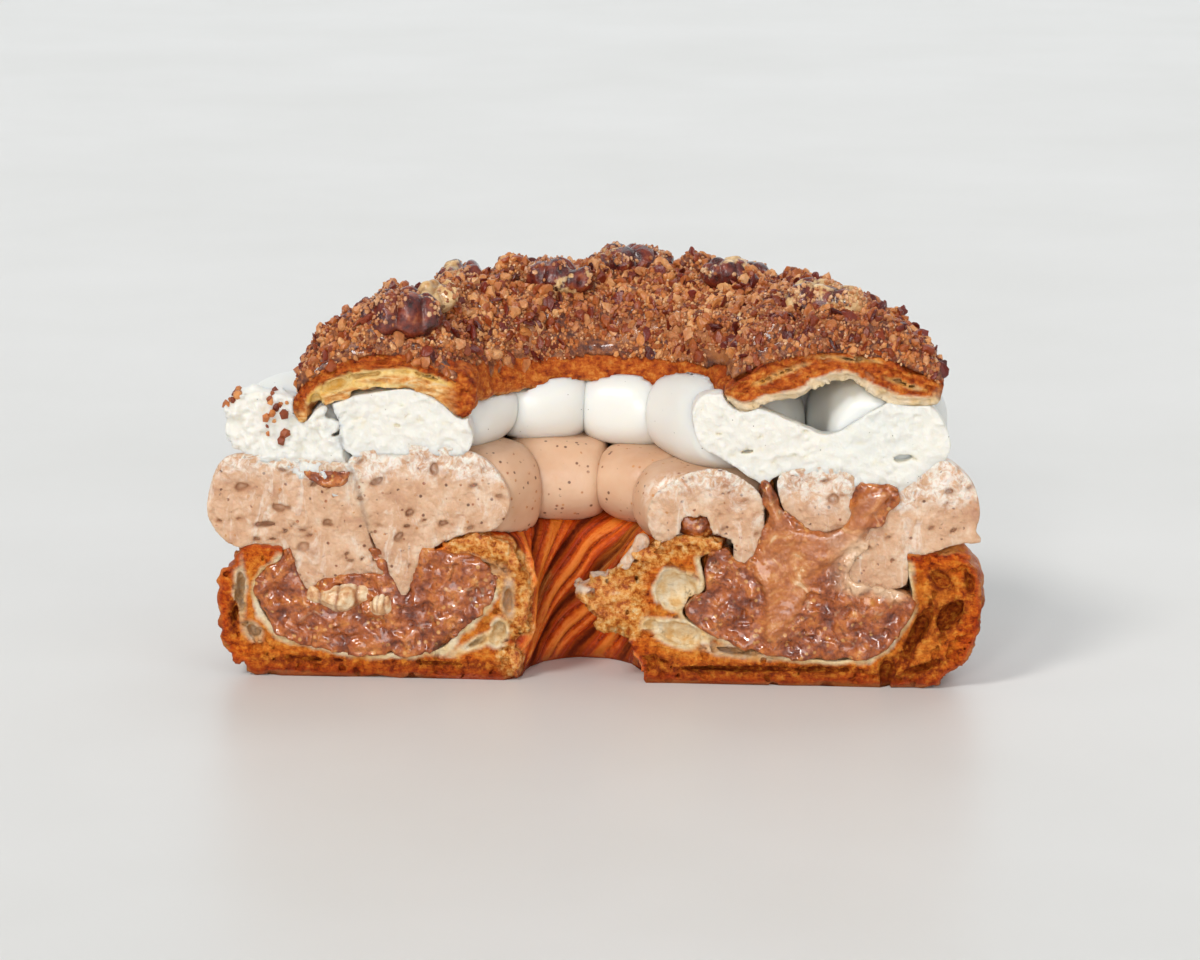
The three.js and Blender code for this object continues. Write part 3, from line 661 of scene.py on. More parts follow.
def converted(thing):
    # The mesh as its modifiers leave it, and the modifiers gone.
    graph = bpy.context.evaluated_depsgraph_get()
    mesh = bpy.data.meshes.new_from_object(thing.evaluated_get(graph))
    thing.modifiers.clear()
    thing.data = mesh
    return thing


def thinned(thing, ratio, hidden):
    # Fewer faces where nothing is seen.
    group = thing.vertex_groups.new(name="hidden")
    group.add(np.nonzero(hidden)[0].tolist(), 1.0, "ADD")
    lighter = thing.modifiers.new("lighter", "DECIMATE")
    lighter.ratio = ratio
    lighter.vertex_group = "hidden"
    lighter.vertex_group_factor = 1000
    converted(thing)
    thing.vertex_groups.clear()
    thing.data.polygons.foreach_set("use_smooth", np.full(len(thing.data.polygons), True))


points, faces = surfaceOf(baseField, *gridOf(baseLook))
x, y, z = points.T
away, dark = pocketsAt(x, y, z)
angle, radius = ringOf(x, y)
atHole = smooth(26, 20, np.hypot(x, y))
phase = np.where(
    atHole > 0.5,
    strandPhase(angle, z, baseLook["strandsInside"]),
    strandPhase(angle, z, baseLook["strandsOutside"], baseLook["outsideSlope"]),
)
# Torn, golden crumb on the tops of the lips and on the flanks of the hole, and its pale tips.
onLip = smooth(23.0, 21.0, x) * smooth(-21.5, -19.5, x)
atLip = smooth(11.5, 9.2, x) * smooth(-14.6, -12.6, x)
tips = smooth(13.8, 14.6, z) * smooth(9.0, 7.6, x) * smooth(-2, 0, x)
baseRing = makeMesh("base_pastry", inFrame(points), faces, values={
    "ridge": np.abs(np.sin(math.pi * (phase * 3 + 0.2))),
    "bake": -baseShell(x, y, z),
    "filling": np.abs(troughAt(x, y, z)),
    "crest": np.abs(np.sin(math.pi * phase)),
    "flake": smooth(1.4, 0.5, flakesAt(x, y, z)) * np.where(z > 18, onLip, atLip),
    "tip": tips * smooth(0.05, 0.3, noise(x, y, z, 2.4, 13)),
    "groove": grooveAt(angle, z, phase),
    "height": z,
    "pocket": smooth(0.8, 0.1, np.abs(away)),
    "dark": dark,
    "hole": atHole,
    "phase": phase,
    "glaze": smooth(0.45, -0.15, layered(x, y, z, 7, 2, 11)),
    "flaky": smooth(-0.3, 0.15, noise(x, y, z, 9, 12)),
})
thinned(baseRing, 0.54, (np.abs(troughAt(x, y, z)) < 0.8) & (y > 3) & (z < 21) | (z < 0.3))
print("base points", len(points))

paint = Finish("baked_pastry", Roughness=0.5, Specular_IOR_Level=0.32)
grit = paint.noise(1.15, 7, 0.72)
fibre = paint.noise(2.2, 6, 0.68, 0.6, (1, 1, 2.6))
swirl = paint.swing(fibre)
bake = paint.plus(paint.value("bake"), paint.times(swirl, 1.6))
toast = paint.ramp(
    paint.plus(paint.times(grit, 0.62), paint.times(fibre, 0.38)),
    [(0.36, "5e1a05"), (0.43, "a33d08"), (0.49, "cc5b0e"), (0.57, "e27f22"), (0.68, "f0ad54")],
)
rind = paint.ramp(
    paint.plus(grit, paint.times(fibre, 0.2)),
    [(0.42, "541402"), (0.54, "962e05"), (0.66, "c44508"), (0.80, "e06816")],
)
crumb = paint.blend(paint.spread(bake, 0.4, 2.0), rind, toast)
golden = paint.ramp(grit, [(0.34, "b85f11"), (0.48, "db8329"), (0.62, "efa64a")])
crumb = paint.blend(paint.times(paint.spread(bake, 2.4, 5.0), 0.5), crumb, golden)
lining = paint.ramp(paint.noise(3.4, 4), [(0.3, "dcac68"), (0.5, "ecd0a0"), (0.7, "f8e6c6")])
near = paint.plus(paint.value("filling"), paint.times(paint.swing(paint.noise(3.2, 5)), 1.4))
lined = paint.times(paint.spread(near, 1.25, 0.5), paint.spread(paint.value("bake"), 0.8, 1.8))
crumb = paint.blend(lined, crumb, lining)
wall = paint.ramp(
    paint.plus(paint.noise(4.5, 5, 0.6), paint.times(paint.swing(grit), 0.26)),
    [(0.30, "6f2205"), (0.44, "a43d0a"), (0.58, "c65b12"), (0.74, "db862f")],
)
threads = paint.streaks(
    paint.times(paint.value("phase"), 11), paint.times(paint.value("height"), 0.12), 5, 0.7
)
threadSwing = paint.swing(threads)
# Strand colour from the crest value: dark in the grooves between the strands and in the fine grooves on them,
# which is painted shade, up to bright orange on the crests.
strand = paint.plus(paint.value("crest"), paint.times(threadSwing, 0.5))
strand = paint.plus(strand, paint.spread(grit, 0.3, 0.7, -0.14, 0.14))
strand = paint.plus(strand, paint.times(swirl, 0.14))
strand = paint.plus(strand, paint.spread(paint.value("ridge"), 0.1, 0.8, -0.22, 0.04))
twisted = paint.ramp(
    strand,
    [
        (0.0, "6a1e03"), (0.18, "a03c08"), (0.36, "c45411"), (0.52, "b83a04"), (0.68, "d44c04"),
        (0.84, "ec680f"), (1.0, "fa8b2d"),
    ],
)
leafy = paint.ramp(threads, [(0.38, "a84c0a"), (0.47, "d87b29"), (0.53, "b45614"), (0.62, "eea95c")])
between = paint.times(paint.spread(strand, 0.62, 0.34), paint.value("flaky"))
twisted = paint.blend(between, twisted, leafy)
# Painted shade: a dark line along the grooves between the strands and along the narrow grooves on them.
creaseShade = paint.times(
    paint.spread(paint.value("groove"), 0.34, 0.06), paint.spread(paint.value("crest"), 0.4, 0.7, 0.0, 0.75)
)
creaseShade = paint.math("MAXIMUM", paint.spread(paint.value("crest"), 0.24, 0.04), creaseShade)
twisted = paint.blend(paint.times(creaseShade, 0.75), twisted, "6a1e03")
outerStrand = paint.ramp(
    strand, [(0.10, "d99849"), (0.34, "c3712a"), (0.55, "a34510"), (0.80, "bc5917"), (1.0, "d68737")]
)
wall = paint.blend(paint.times(paint.spread(paint.value("crest"), 0.05, 0.25), 0.6), wall, outerStrand)
outside = paint.blend(paint.value("hole"), wall, twisted)
surface = paint.blend(paint.spread(paint.value("bake"), 0.2, 0.7), outside, crumb)
torn = paint.ramp(grit, [(0.38, "96400a"), (0.46, "d07828"), (0.55, "ecac5a"), (0.66, "f8d8a0")])
torn = paint.blend(paint.times(paint.value("tip"), 0.8), torn, "f4e8d6")
surface = paint.blend(paint.times(paint.value("flake"), 0.9), surface, torn)
hollow = paint.ramp(paint.noise(2.0, 4), [(0.35, "eabc7c"), (0.5, "f8dcac"), (0.65, "feeed0")])
scorched = paint.ramp(grit, [(0.38, "6e2406"), (0.5, "a84a0c"), (0.64, "de8a2e")])
hollow = paint.blend(paint.value("dark"), hollow, scorched)
surface = paint.blend(
    paint.times(paint.value("pocket"), paint.spread(paint.value("bake"), 0.5, 1.5)), surface, hollow,
)
surface = paint.blend(paint.times(paint.spread(paint.value("height"), 2.6, 0.4), 0.6), surface, "702606")
relief = paint.bump(grit, 1.0, 0.6)
relief = paint.bump(fibre, 0.8, 0.8, relief)
smoothPart = paint.times(paint.value("hole"), paint.spread(paint.value("crest"), 0.35, 0.65))
smoothPart = paint.times(smoothPart, paint.spread(paint.value("bake"), 0.9, 0.3))
rubbed = paint.times(paint.math("SUBTRACT", 1.0, paint.value("hole")), paint.value("glaze"))
rubbed = paint.times(rubbed, paint.spread(paint.value("bake"), 0.9, 0.3))
smoothPart = paint.math("MAXIMUM", smoothPart, paint.times(rubbed, 0.6))
paint.feed(relief.node.inputs["Strength"], paint.spread(smoothPart, 0, 1, 0.85, 0.18))
lined = paint.bump(threads, 0.7, 0.7, relief)
paint.feed(lined.node.inputs["Strength"], paint.spread(paint.value("bake"), 0.8, 0.4, 0.0, 0.7))
gloss = paint.spread(smoothPart, 0.1, 0.8, 0.62, 0.24)
finished(
    baseRing,
    paint.end(
        Base_Color=surface, Normal=lined, Roughness=gloss,
        Specular_IOR_Level=paint.spread(smoothPart, 0, 1, 0.16, 0.5),
    ),
    "crust", "base_ring",
)

# Praline.
pralineLook = {
    "lumps": 0.75, "grain": 0.42, "bulge": 0.75, "top": 16.5,
    "grid": 0.38, "behind": (1.1, 4, 1.0), "box": ((-53, 53), (-1.6, 50.5), (3, 33)),
    "squeezed": [((-38.6, 0.9, 32.2), (3.6, 1.8, 1.9)), ((17.6, 3.0, 24.9), (3.2, 2.0, 2.8))],
}
pralineRight = Outline([
    (28.1, 31.9), (29.3, 30.9), (31.2, 27.3), (33.9, 24.9), (38.6, 24.3), (41.3, 26.5), (42.6, 31.2),
    (45.5, 31.5), (48.3, 30.6), (45.8, 26.5), (43.6, 22.6), (41.2, 19.6), (41.0, 16.8), (43.5, 15.6),
    (47.0, 15.4), (50.3, 14.2), (51.0, 12.6), (49.0, 9.0), (44.7, 5.3), (37.0, 4.6), (28.5, 5.6),
    (22.3, 7.6), (18.7, 9.2), (16.4, 11.0), (17.2, 12.7), (19.7, 15.1), (19.3, 19.6), (21.9, 21.2),
    (24.0, 19.4), (25.4, 18.3), (27.8, 22.6), (29.0, 26.5), (28.0, 29.6),
])
creamLeftOuter = Outline([
    (57.7, 25.7), (56.9, 30.0), (54.6, 34.2), (49.2, 34.9), (43.3, 34.5), (37.9, 34.0), (35.3, 33.2),
    (33.7, 27.3), (32.5, 21.8), (30.5, 17.7), (29.6, 15.8), (31.2, 16.1), (36.3, 15.9), (40.5, 14.5),
    (42.8, 13.9), (44.5, 17.7), (45.8, 20.7), (49.2, 21.4), (52.6, 20.6), (55.6, 22.1),
])
creamLeftInner = Outline([
    (34.6, 31.5), (35.4, 34.6), (32.2, 36.0), (24.8, 36.5), (18.3, 36.1), (14.7, 34.7), (11.9, 31.5),
    (10.9, 28.5), (11.8, 25.7), (13.9, 23.9), (17.3, 23.4), (20.9, 22.2), (23.7, 20.4), (25.8, 16.1),
    (27.6, 12.6), (29.2, 15.5), (30.2, 17.8), (32.0, 22.1), (33.5, 26.8),
])
creamRightInner = Outline([
    (10.5, 26.5), (11.5, 29.2), (14.2, 31.5), (16.9, 33.3), (20.6, 34.0), (24.7, 32.6), (27.6, 29.9),
    (28.5, 26.5), (28.2, 23.0), (26.5, 20.2), (24.9, 17.4), (23.7, 18.2), (24.2, 20.8), (23.6, 23.0),
    (20.9, 24.2), (19.6, 26.6), (16.2, 26.5), (15.2, 24.0), (13.2, 22.8), (11.2, 23.4),
])
creamRightOuter = Outline([
    (46.3, 28.9), (49.4, 30.6), (52.8, 33.6), (55.6, 35.8), (58.2, 34.4), (60.2, 31.5),
    (61.0, 27.8), (60.5, 24.9), (61.4, 23.4), (58.9, 23.2), (55.9, 22.6), (52.4, 21.6),
    (50.2, 20.2), (50.1, 16.6), (46.8, 15.6), (43.4, 16.1), (41.5, 17.4), (41.9, 19.4),
    (43.8, 22.0), (45.0, 24.9),
])
creamLump = Outline([
    (30.8, 32.8), (33.9, 34.2), (38.6, 34.2), (42.4, 32.4), (42.7, 29.7), (41.7, 27.3), (39.8, 25.4),
    (36.2, 24.6), (33.2, 25.6), (31.4, 28.4),
])


def nearRight(angle, y):
    return smooth(9.5, 5.0, y) * (angle < 1.5)


def nearLeft(angle, y):
    return smooth(9.5, 5.0, y) * (angle > 1.5)


caramelFlow = Outline([
    (28.6, 31.5), (31.0, 28.0), (33.9, 25.2), (38.6, 24.9), (41.6, 28.1), (43.0, 31.2),
    (47.8, 30.8), (45.4, 27.0), (43.0, 23.6), (39.8, 20.6), (36.6, 17.6), (35.2, 14.4),
    (33.4, 10.6), (30.6, 7.4), (28.4, 7.8), (28.8, 12.0), (28.0, 16.2), (26.6, 18.6), (28.2, 22.8),
    (29.2, 27.0),
])


def caramelAt(x, y, z):
    # 1 where smooth caramel has run down over the nutty paste at the right-hand cut.
    angle, radius = ringOf(x, y)
    return smooth(0.5, -0.9, caramelFlow.at(radius, z) + 0.4 * noise(x, y, z, 3, 24)) * nearRight(angle, y)


def pralineField(x, y, z):
    angle, radius = ringOf(x, y)
    trough = troughAt(x, y, z) + 0.1
    value = np.maximum(trough, z - pralineLook["top"])
    right = pralineRight.at(radius - 0.3, z)
    value = mix(value, np.maximum(right, np.minimum(trough, 14 - z)) - 0.3, nearRight(angle, y))
    kept = np.minimum(creamLeftInner.at(radius, z), creamLeftOuter.at(radius, z)) + 0.4
    left = np.maximum(np.maximum(trough - 0.3, z - 20.4), -kept)
    value = mix(value, left, nearLeft(angle, y))
    for middle, half in pralineLook["squeezed"]:
        value = np.minimum(value, ellipsoid(x, y, z, middle, half))
    lumps = layered(x, y, z, 2.6, 2, 21)
    grain = np.abs(noise(x, y, z, 1.15, 23))
    flow = caramelAt(x, y, z)
    lumps = mix(lumps, 0.5 * noise(x, y, z, 5, 22), flow)
    grain = mix(grain, 0.45, 0.8 * flow)
    value = value - pralineLook["lumps"] * lumps - pralineLook["grain"] * (0.5 - grain)
    front = pralineLook["bulge"] * (0.35 + 1.3 * lumps) + pralineLook["grain"] * (0.6 - grain) * 1.6
    return np.maximum(value, -(front + 0.7 * flow) + 0.1 - y)


points, faces = surfaceOf(pralineField, *gridOf(pralineLook), polish=1)
x, y, z = points.T
paleSide = smooth(38, 43, x + 2.5 * layered(x, y, z, 4, 3, 25))
paleLow = smooth(14.0, 16.5, z + 1.5 * noise(x, y, z, 2, 26))
praline = makeMesh("nut_praline", inFrame(points), faces, values={
    "lumps": layered(x, y, z, 2.6, 2, 21),
    "caramel": caramelAt(x, y, z),
    "pale": paleSide * paleLow * smooth(26, 22, z),
})
print("praline points", len(points))
paint = Finish("praline_finish", Roughness=0.3, Coat_Weight=1.0, Coat_Roughness=0.07, Specular_IOR_Level=0.3)
body = paint.ramp(
    paint.plus(paint.noise(2.4, 6, 0.66), paint.times(paint.value("lumps"), 0.12)),
    [(0.30, "5a1f04"), (0.42, "883c0d"), (0.54, "a95619"), (0.66, "c1732d"), (0.80, "d59950")],
)
bits = paint.ramp(paint.cells(1.25), [(0.0, 1.0), (0.20, 1.0), (0.32, 0.0)])
some = paint.ramp(paint.noise(3.6, 3), [(0.48, 0.0), (0.56, 1.0)])
body = paint.blend(paint.times(paint.times(bits, some), 0.7), body, "d8a05a")
dark = paint.ramp(paint.noise(0.9, 4, 0.6), [(0.36, 1.0), (0.46, 0.0)])
body = paint.blend(paint.times(dark, 0.6), body, "5a2208")
milk = paint.ramp(paint.noise(5.5, 5, 0.6, 1.6), [(0.62, 0.0), (0.72, 1.0)])
body = paint.blend(paint.times(milk, 0.5), body, "dcb691")
run = paint.ramp(
    paint.noise(4.5, 4, 0.6, 2.2), [(0.34, "984e18"), (0.52, "b26628"), (0.64, "c48446"), (0.74, "e4c298")]
)
body = paint.blend(paint.times(paint.value("caramel"), 0.9), body, run)
body = paint.blend(paint.times(paint.value("pale"), 0.85), body, "dcb995")
relief = paint.bump(paint.noise(0.6, 4, 0.6), 0.8, 0.4)
paint.feed(relief.node.inputs["Strength"], paint.spread(paint.value("caramel"), 0, 1, 0.5, 0.08))
relief = paint.bump(paint.cells(1.3), 0.7, 0.6, relief)
paint.feed(relief.node.inputs["Strength"], paint.spread(paint.value("caramel"), 0, 1, 0.6, 0.0))
relief = paint.bump(paint.noise(1.9, 2), 1.0, 1.1, relief)
shine = paint.spread(paint.noise(1.8, 3), 0.35, 0.65, 0.2, 0.5)
finished(praline, paint.end(Base_Color=body, Normal=relief, Roughness=shine), "praline", "praline_filling")

# Piped creams.
# The first two are heights where the creams meet; rows, insides and outsides are radii.
creamLook = {
    "meetRight": 32.2, "meetLeft": 34.8, "rowsRight": 34.4, "rowsLeft": 33.6,
    "whiteRowsRight": 38.6, "whiteRowsLeft": 37.6, "inside": 10.7, "insideMore": 2.4,
    "outside": 58.7, "outsideLean": 1.6, "whiteInside": 17.0, "whiteOutside": 55.2, "whiteLean": 0.9,
    "boxiness": 2.3, "gap": -0.55, "rounding": 1.1,
    "uneven": 0.35, "cutGrid": 0.34, "nearGrid": 0.6, "farGrid": 0.8, "margin": 2.2, "tears": 0.5,
}
pecanInnerAngles = [-9, 27, 62, 104, 145, 183]
pecanOuterAngles = [1, 21, 42, 61, 81, 101, 121, 140, 160, 179]
vanillaInnerAngles = [3, 40, 75, 109, 144, 180]
vanillaOuterAngles = [2, 22, 41, 62, 82, 100, 121, 141, 160, 178]


def creamMeet(angle):
    share = smooth(0.05, 0.95, np.clip(angle / math.pi, 0, 1))
    return mix(creamLook["meetRight"], creamLook["meetLeft"], share)


def rowsMeetAt(angle):
    return mix(creamLook["rowsRight"], creamLook["rowsLeft"], np.clip(angle / math.pi, 0, 1))


def whiteRowsMeetAt(angle):
    share = np.clip(angle / math.pi, 0, 1)
    return mix(creamLook["whiteRowsRight"], creamLook["whiteRowsLeft"], share)


capLook = {
    "inner": 19.9, "innerLean": 2.9, "outer": 49.4, "outerLean": 5.8,
    "grid": 0.42, "behind": (0.62, 5, 0.85), "box": ((-47, 58), (-1.2, 54), (38.5, 56.5)),
    "crags": 0.62, "lumps": 1.3, "leafSpacing": 0.8, "tear": 0.55, "tearMore": 0.9,
}


def capSides(angle):
    return (
        capLook["inner"] + capLook["innerLean"] * np.cos(angle),
        capLook["outer"] + capLook["outerLean"] * np.cos(angle),
    )


def capShare(angle, radius):
    # 0 at the cap's inner rim, 1 at its outer rim.
    inner, outer = capSides(angle)
    return (radius - inner) / (outer - inner)


capRight = Outline([
    (21.9, 45.5), (24.7, 43.3), (30.1, 44.6), (34.4, 45.6), (36.6, 47.6), (41.0, 48.5),
    (44.7, 46.4), (49.4, 44.6), (54.3, 44.3), (55.6, 46.6), (55.0, 48.6), (49.4, 50.6),
    (44.7, 53.0), (40.1, 54.3), (33.9, 52.9), (27.8, 50.1), (23.9, 47.7),
])
capMiddle = Outline([
    (19.2, 43.4), (20.4, 42.4), (23.5, 45.2), (29, 47.2), (36, 47.6), (42, 46.4), (46.5, 44.0),
    (49.0, 42.4), (50.4, 44.2), (49.6, 47.4), (45.5, 50.6), (40, 52.4), (34.5, 53.0), (29, 52.4),
    (24, 50.6), (20.4, 47.6),
])
capLeft = Outline([
    (42.7, 40.6), (40.5, 42.9), (36.3, 44.3), (30.9, 45.2), (26.0, 45.8), (21.7, 44.3),
    (18.1, 41.5), (16.4, 43.5), (16.6, 47.3), (20.1, 49.9), (24.8, 51.4), (30.9, 52.1),
    (36.3, 51.4), (40.2, 49.4), (43.4, 46.2), (44.1, 43.0),
])


def capShell(x, y, z):
    angle, radius = ringOf(x, y)
    value = sweptOutlines(angle, radius, z, capRight, capMiddle, capLeft, capSides, 0.5)
    return value - 0.5 * noise(x, y, z, 7, 31) - 0.25 * noise(x, y, z, 3, 32)


def insideDollop(x, y, z, d):
    # One piped dollop: a rounded box that is pressed flat against its neighbours.
    flat = np.maximum(y, -30)
    away = np.arctan2(flat, x)
    away = np.where(away < -math.pi / 2, away + 2 * math.pi, away)
    radius = np.hypot(x, flat)
    turn = away - d["angle"]
    k = (
        np.abs((radius - d["radius"]) / d["half"][0]) ** creamLook["boxiness"]
        + np.abs(radius * turn / d["half"][1]) ** creamLook["boxiness"]
        + np.abs((z - d["height"]) / d["half"][2]) ** creamLook["boxiness"]
    )
    value = (k ** (1 / creamLook["boxiness"]) - 1) * min(d["half"])
    value = value - creamLook["uneven"] * noise(x, y, z, 8, 41 + d["seed"])
    sides = np.maximum(radius * (d["before"] - away), radius * (away - d["after"]))
    sides = np.maximum(sides, d["rows"](radius, np.clip(away, 0, math.pi)))
    value = smoothMax(value, sides + creamLook["gap"], creamLook["rounding"])
    levels = d["levels"](np.clip(away, 0, math.pi), z)
    return smoothMax(value, levels + creamLook["gap"], creamLook["rounding"])


def dollopRow(angles, spans, heights, rows, levels, seed):
    angles = [math.radians(a) for a in angles]
    step = (angles[-1] - angles[0]) / (len(angles) - 1)
    made = []
    for i, angle in enumerate(angles):
        before = ((angles[i - 1] if i else angle - step) + angle) / 2
        after = ((angles[i + 1] if i + 1 < len(angles) else angle + step) + angle) / 2
        inner, outer = spans(angle)
        low, high = heights(angle)
        middle = (inner + outer) / 2
        made.append({
            "angle": angle, "before": before, "after": after, "radius": middle, "height": (low + high) / 2,
            "half": ((outer - inner) / 2 + 0.9, middle * (after - before) / 2 + 0.9, (high - low) / 2),
            "rows": rows, "levels": levels, "seed": seed + i,
        })
    return made


def cutBall(x, y, z, outline, reach, lead):
    # The dollop that the knife went through: its cut outline, drawn in as the ball closes
    # `reach` behind the cut; `lead` is how far its middle lies behind the cut.
    radius = ringOf(x, y)[1]
    far = np.abs(np.maximum(y, 0) - lead) / reach
    start = abs(lead) / reach
    closing = 1 - np.clip(1 - far ** 2.4, 0, 1) ** (1 / 2.4)
    closing = closing - (1 - max(0.0, 1 - start ** 2.4) ** (1 / 2.4))
    beyond = np.maximum(far - 1, 0) * reach
    return outline.at(radius, z) + 7.5 * np.maximum(closing, -0.2) + beyond


def pitsAt(x, y, z, pits):
    best = np.full(np.shape(x), farOff)
    for px, pz, a, b, tilt in pits:
        along, over = tilted(x - px, z - pz, tilt)
        best = np.minimum(best, ellipsoid(along, y, over, (0, 0.1, 0), (a, 1.5 * max(a, b), b)))
    return best + 0.12 * noise(x, y, z, 0.9, 45)


def scatteredPits(count, low, high, sizes, seed):
    random = np.random.default_rng(seed)
    made = []
    for _ in range(count):
        size = mix(sizes[0], sizes[1], random.random() ** 2)
        made.append((
            random.uniform(low[0], high[0]), random.uniform(low[1], high[1]),
            size * 1.3, size * random.uniform(0.4, 0.8), random.uniform(-0.2, 0.9),
        ))
    return made


pecanPits = (
    [(-52.4, 30.0, 1.1, 0.6, 0.2), (-46.6, 26.8, 1.1, 0.6, -0.3), (-43.0, 20.6, 1.0, 0.8, 0.4),
     (-48.8, 24.2, 1.6, 0.45, 0.1), (-22.4, 33.4, 0.6, 1.0, 0.0), (-31.4, 31.2, 1.3, 0.5, 0.5),
     (-21.0, 24.8, 0.8, 0.4, 0.3), (-39.2, 24.6, 0.7, 0.5, 0.6), (-26.2, 26.4, 0.8, 0.5, 0.7),
     (-28.0, 22.6, 0.9, 0.5, 0.8), (39.0, 29.7, 0.9, 0.7, 0.0), (56.6, 31.2, 0.6, 0.4, 0.2)]
    + scatteredPits(70, (-56, 14), (-12, 35), (0.2, 0.55), 5)
    + scatteredPits(45, (12, 16), (60, 35), (0.2, 0.5), 6)
)
vanillaPits = (
    [(49.5, 36.3, 1.7, 0.55, 0.2), (25.6, 36.8, 1.2, 0.35, 0.2)]
    + scatteredPits(26, (18, 31), (56, 45), (0.2, 0.4), 8)
    + scatteredPits(26, (-55, 34), (-17, 45), (0.2, 0.4), 9)
)


def bedOf(x, y, z):
    return np.minimum(baseFieldPlain(x, y, z), pralineField(x, y, z))


def baseFieldPlain(x, y, z):
    return np.maximum(baseShell(x, y, z), -troughAt(x, y, z))


def cutFace(x, y, z, seed, rough):
    # Where the knife's face lies: nearly flat, torn a little by the blade.
    wave = 0.3 * noise(x, 0 * y, z, 7, seed) + rough * layered(x, 0 * y, z, 1.7, 3, seed + 1)
    crags = np.abs(layered(x + 0.6 * z, 0 * y, z - 0.4 * x, 1.25, 2, seed + 2))
    return 0.1 + wave + rough * 0.9 * (0.3 - crags) - y


# Where the cream has run over the lip on to the torn flakes: place and size.
creamDrip = [(9.6, 22.3, 0.9), (8.9, 21.3, 0.6), (8.2, 20.4, 0.5), (7.6, 19.6, 0.45), (7.1, 18.8, 0.6)]


def pecanBall(d, cutOne=None):
    def field(x, y, z):
        if cutOne is None:
            return np.maximum(insideDollop(x, y, z, d), 0.05 - bedOf(x, y, z))
        outline, reach, lead = cutOne
        value = cutBall(x, y, z, outline, reach, lead) - 0.3 * noise(x, y, z, 5, 44)
        if outline is creamRightInner:
            for cx, cz, size in creamDrip:
                value = smoothMin(value, ellipsoid(x, y, z, (cx, 1.0, cz), (size, 1.3, size)), 0.5)
        value = value - 0.3
        value = np.maximum(value, -0.2 - baseFieldPlain(x, y, z))
        value = np.maximum(value, cutFace(x, y, z, 51, creamLook["tears"]))
        return np.maximum(value, -pitsAt(x, y, z, pecanPits))
    return field


def pecanLevels(angle, z):
    return z - creamMeet(angle)


def insidePecan(a):
    return creamLook["inside"] + creamLook["insideMore"] * math.sin(a) ** 2, float(rowsMeetAt(a))


def innerHeights(a):
    return mix(17.0, 14.2, a / math.pi) + 2 + 3.0 * math.sin(a) ** 2, float(creamMeet(a)) + 2.2


def outerHeights(a):
    return 16.5, float(creamMeet(a)) + 2.2


def outsidePecan(a):
    return float(rowsMeetAt(a)), creamLook["outside"] + creamLook["outsideLean"] * math.cos(a)


pecanInner = dollopRow(
    pecanInnerAngles, insidePecan, innerHeights, lambda r, a: r - rowsMeetAt(a), pecanLevels, 1,
)
pecanOuter = dollopRow(
    pecanOuterAngles, outsidePecan, outerHeights, lambda r, a: rowsMeetAt(a) - r, pecanLevels, 11,
)


def boxOf(d):
    # Grid limits round a dollop, in flat millimetres.
    more = creamLook["margin"]
    a0, a1 = d["before"] - 0.03, d["after"] + 0.03
    r0, r1 = d["radius"] - d["half"][0] - more, d["radius"] + d["half"][0] + more
    turns = np.linspace(a0, a1, 9)
    xs = np.concatenate([r0 * np.cos(turns), r1 * np.cos(turns)])
    ys = np.concatenate([r0 * np.sin(turns), r1 * np.sin(turns)])
    z0, z1 = d["height"] - d["half"][2] - more, d["height"] + d["half"][2] + more
    return (xs.min(), xs.max()), (max(ys.min(), -0.9), ys.max()), (z0, z1)


def ballMesh(field, box, grid):
    (x0, x1), (y0, y1), (z0, z1) = box
    return surfaceOf(
        field, spaced(x0 - 1, x1 + 1, grid), spaced(y0, y1 + 1, grid), spaced(z0 - 1, z1 + 1, grid), 2.5, 1
    )


def creamValues(p, pits=None):
    x, y, z = p.T
    angle = ringOf(x, y)[0]
    atCut = smooth(1.5, 0.8, y)
    ragged = 2.6 * layered(x, y, z, 3.4, 3, 53)
    return {
        "cut": atCut,
        "tear": layered(x, y, z, 1.7, 3, 52),
        "pit": smooth(0.35, 0.0, np.abs(pitsAt(x, y, z, pits))) * atCut if pits else 0 * x,
        "milk": smooth(-4.6, -0.6, z - creamMeet(angle) + ragged) * smooth(5, 1, y),
    }


def creamParts(inner, outer, ball, cutOnes, pits):
    # The whole dollops of both rows, and the cut ones on a finer grid.
    parts = []
    for d in inner[1:-1] + outer[1:-1]:
        p, f = ballMesh(ball(d), boxOf(d), creamLook["nearGrid"] if d in inner else creamLook["farGrid"])
        parts.append((p, f, creamValues(p)))
    for outline, reach, lead, box in cutOnes:
        p, f = ballMesh(ball(None, (outline, reach, lead)), box, creamLook["cutGrid"])
        parts.append((p, f, creamValues(p, pits)))
    return joined(parts)


def numbered(stem, count):
    return [stem + "_%d" % (i + 1) for i in range(count)]


def rowNames(cream):
    return numbered(cream + "_inner", 6) + numbered(cream + "_outer", 10)


def speckled(paint, tone, size, patches, start, tint):
    # Specks in some patches: how far they reach in their cells, and where the patches begin.
    specks = paint.ramp(paint.cells(1.3), [(0.0, 1.0), (size[0], 1.0), (size[1], 0.0)])
    chosen = paint.ramp(paint.noise(patches, 2), [(start, 0.0), (start + 0.06, 1.0)])
    return paint.blend(paint.times(paint.times(specks, chosen), 0.85), tone, tint)


# Cut dollops: outline, how far behind the cut they close, where their middle lies, grid limits.
cutPecan = (
    (creamRightInner, 5.2, -1.6, ((3.5, 30), (-0.9, 6), (15, 36))),
    (creamLump, 3.4, 0.0, ((29, 44), (-0.9, 4), (23, 36))),
    (creamRightOuter, 9.2, 0.6, ((40, 63), (-0.9, 11), (13, 38))),
    (creamLeftInner, 6.8, -0.8, ((-37, -9), (-0.9, 8), (11, 38))),
    (creamLeftOuter, 9.6, 0.4, ((-60, -28), (-0.9, 11), (12, 37))),
)
points, faces, values = creamParts(pecanInner, pecanOuter, pecanBall, cutPecan, pecanPits)
pecanCream = makeMesh("pecan_cream", inFrame(points), faces, values=values)
print("pecan cream points", len(points))

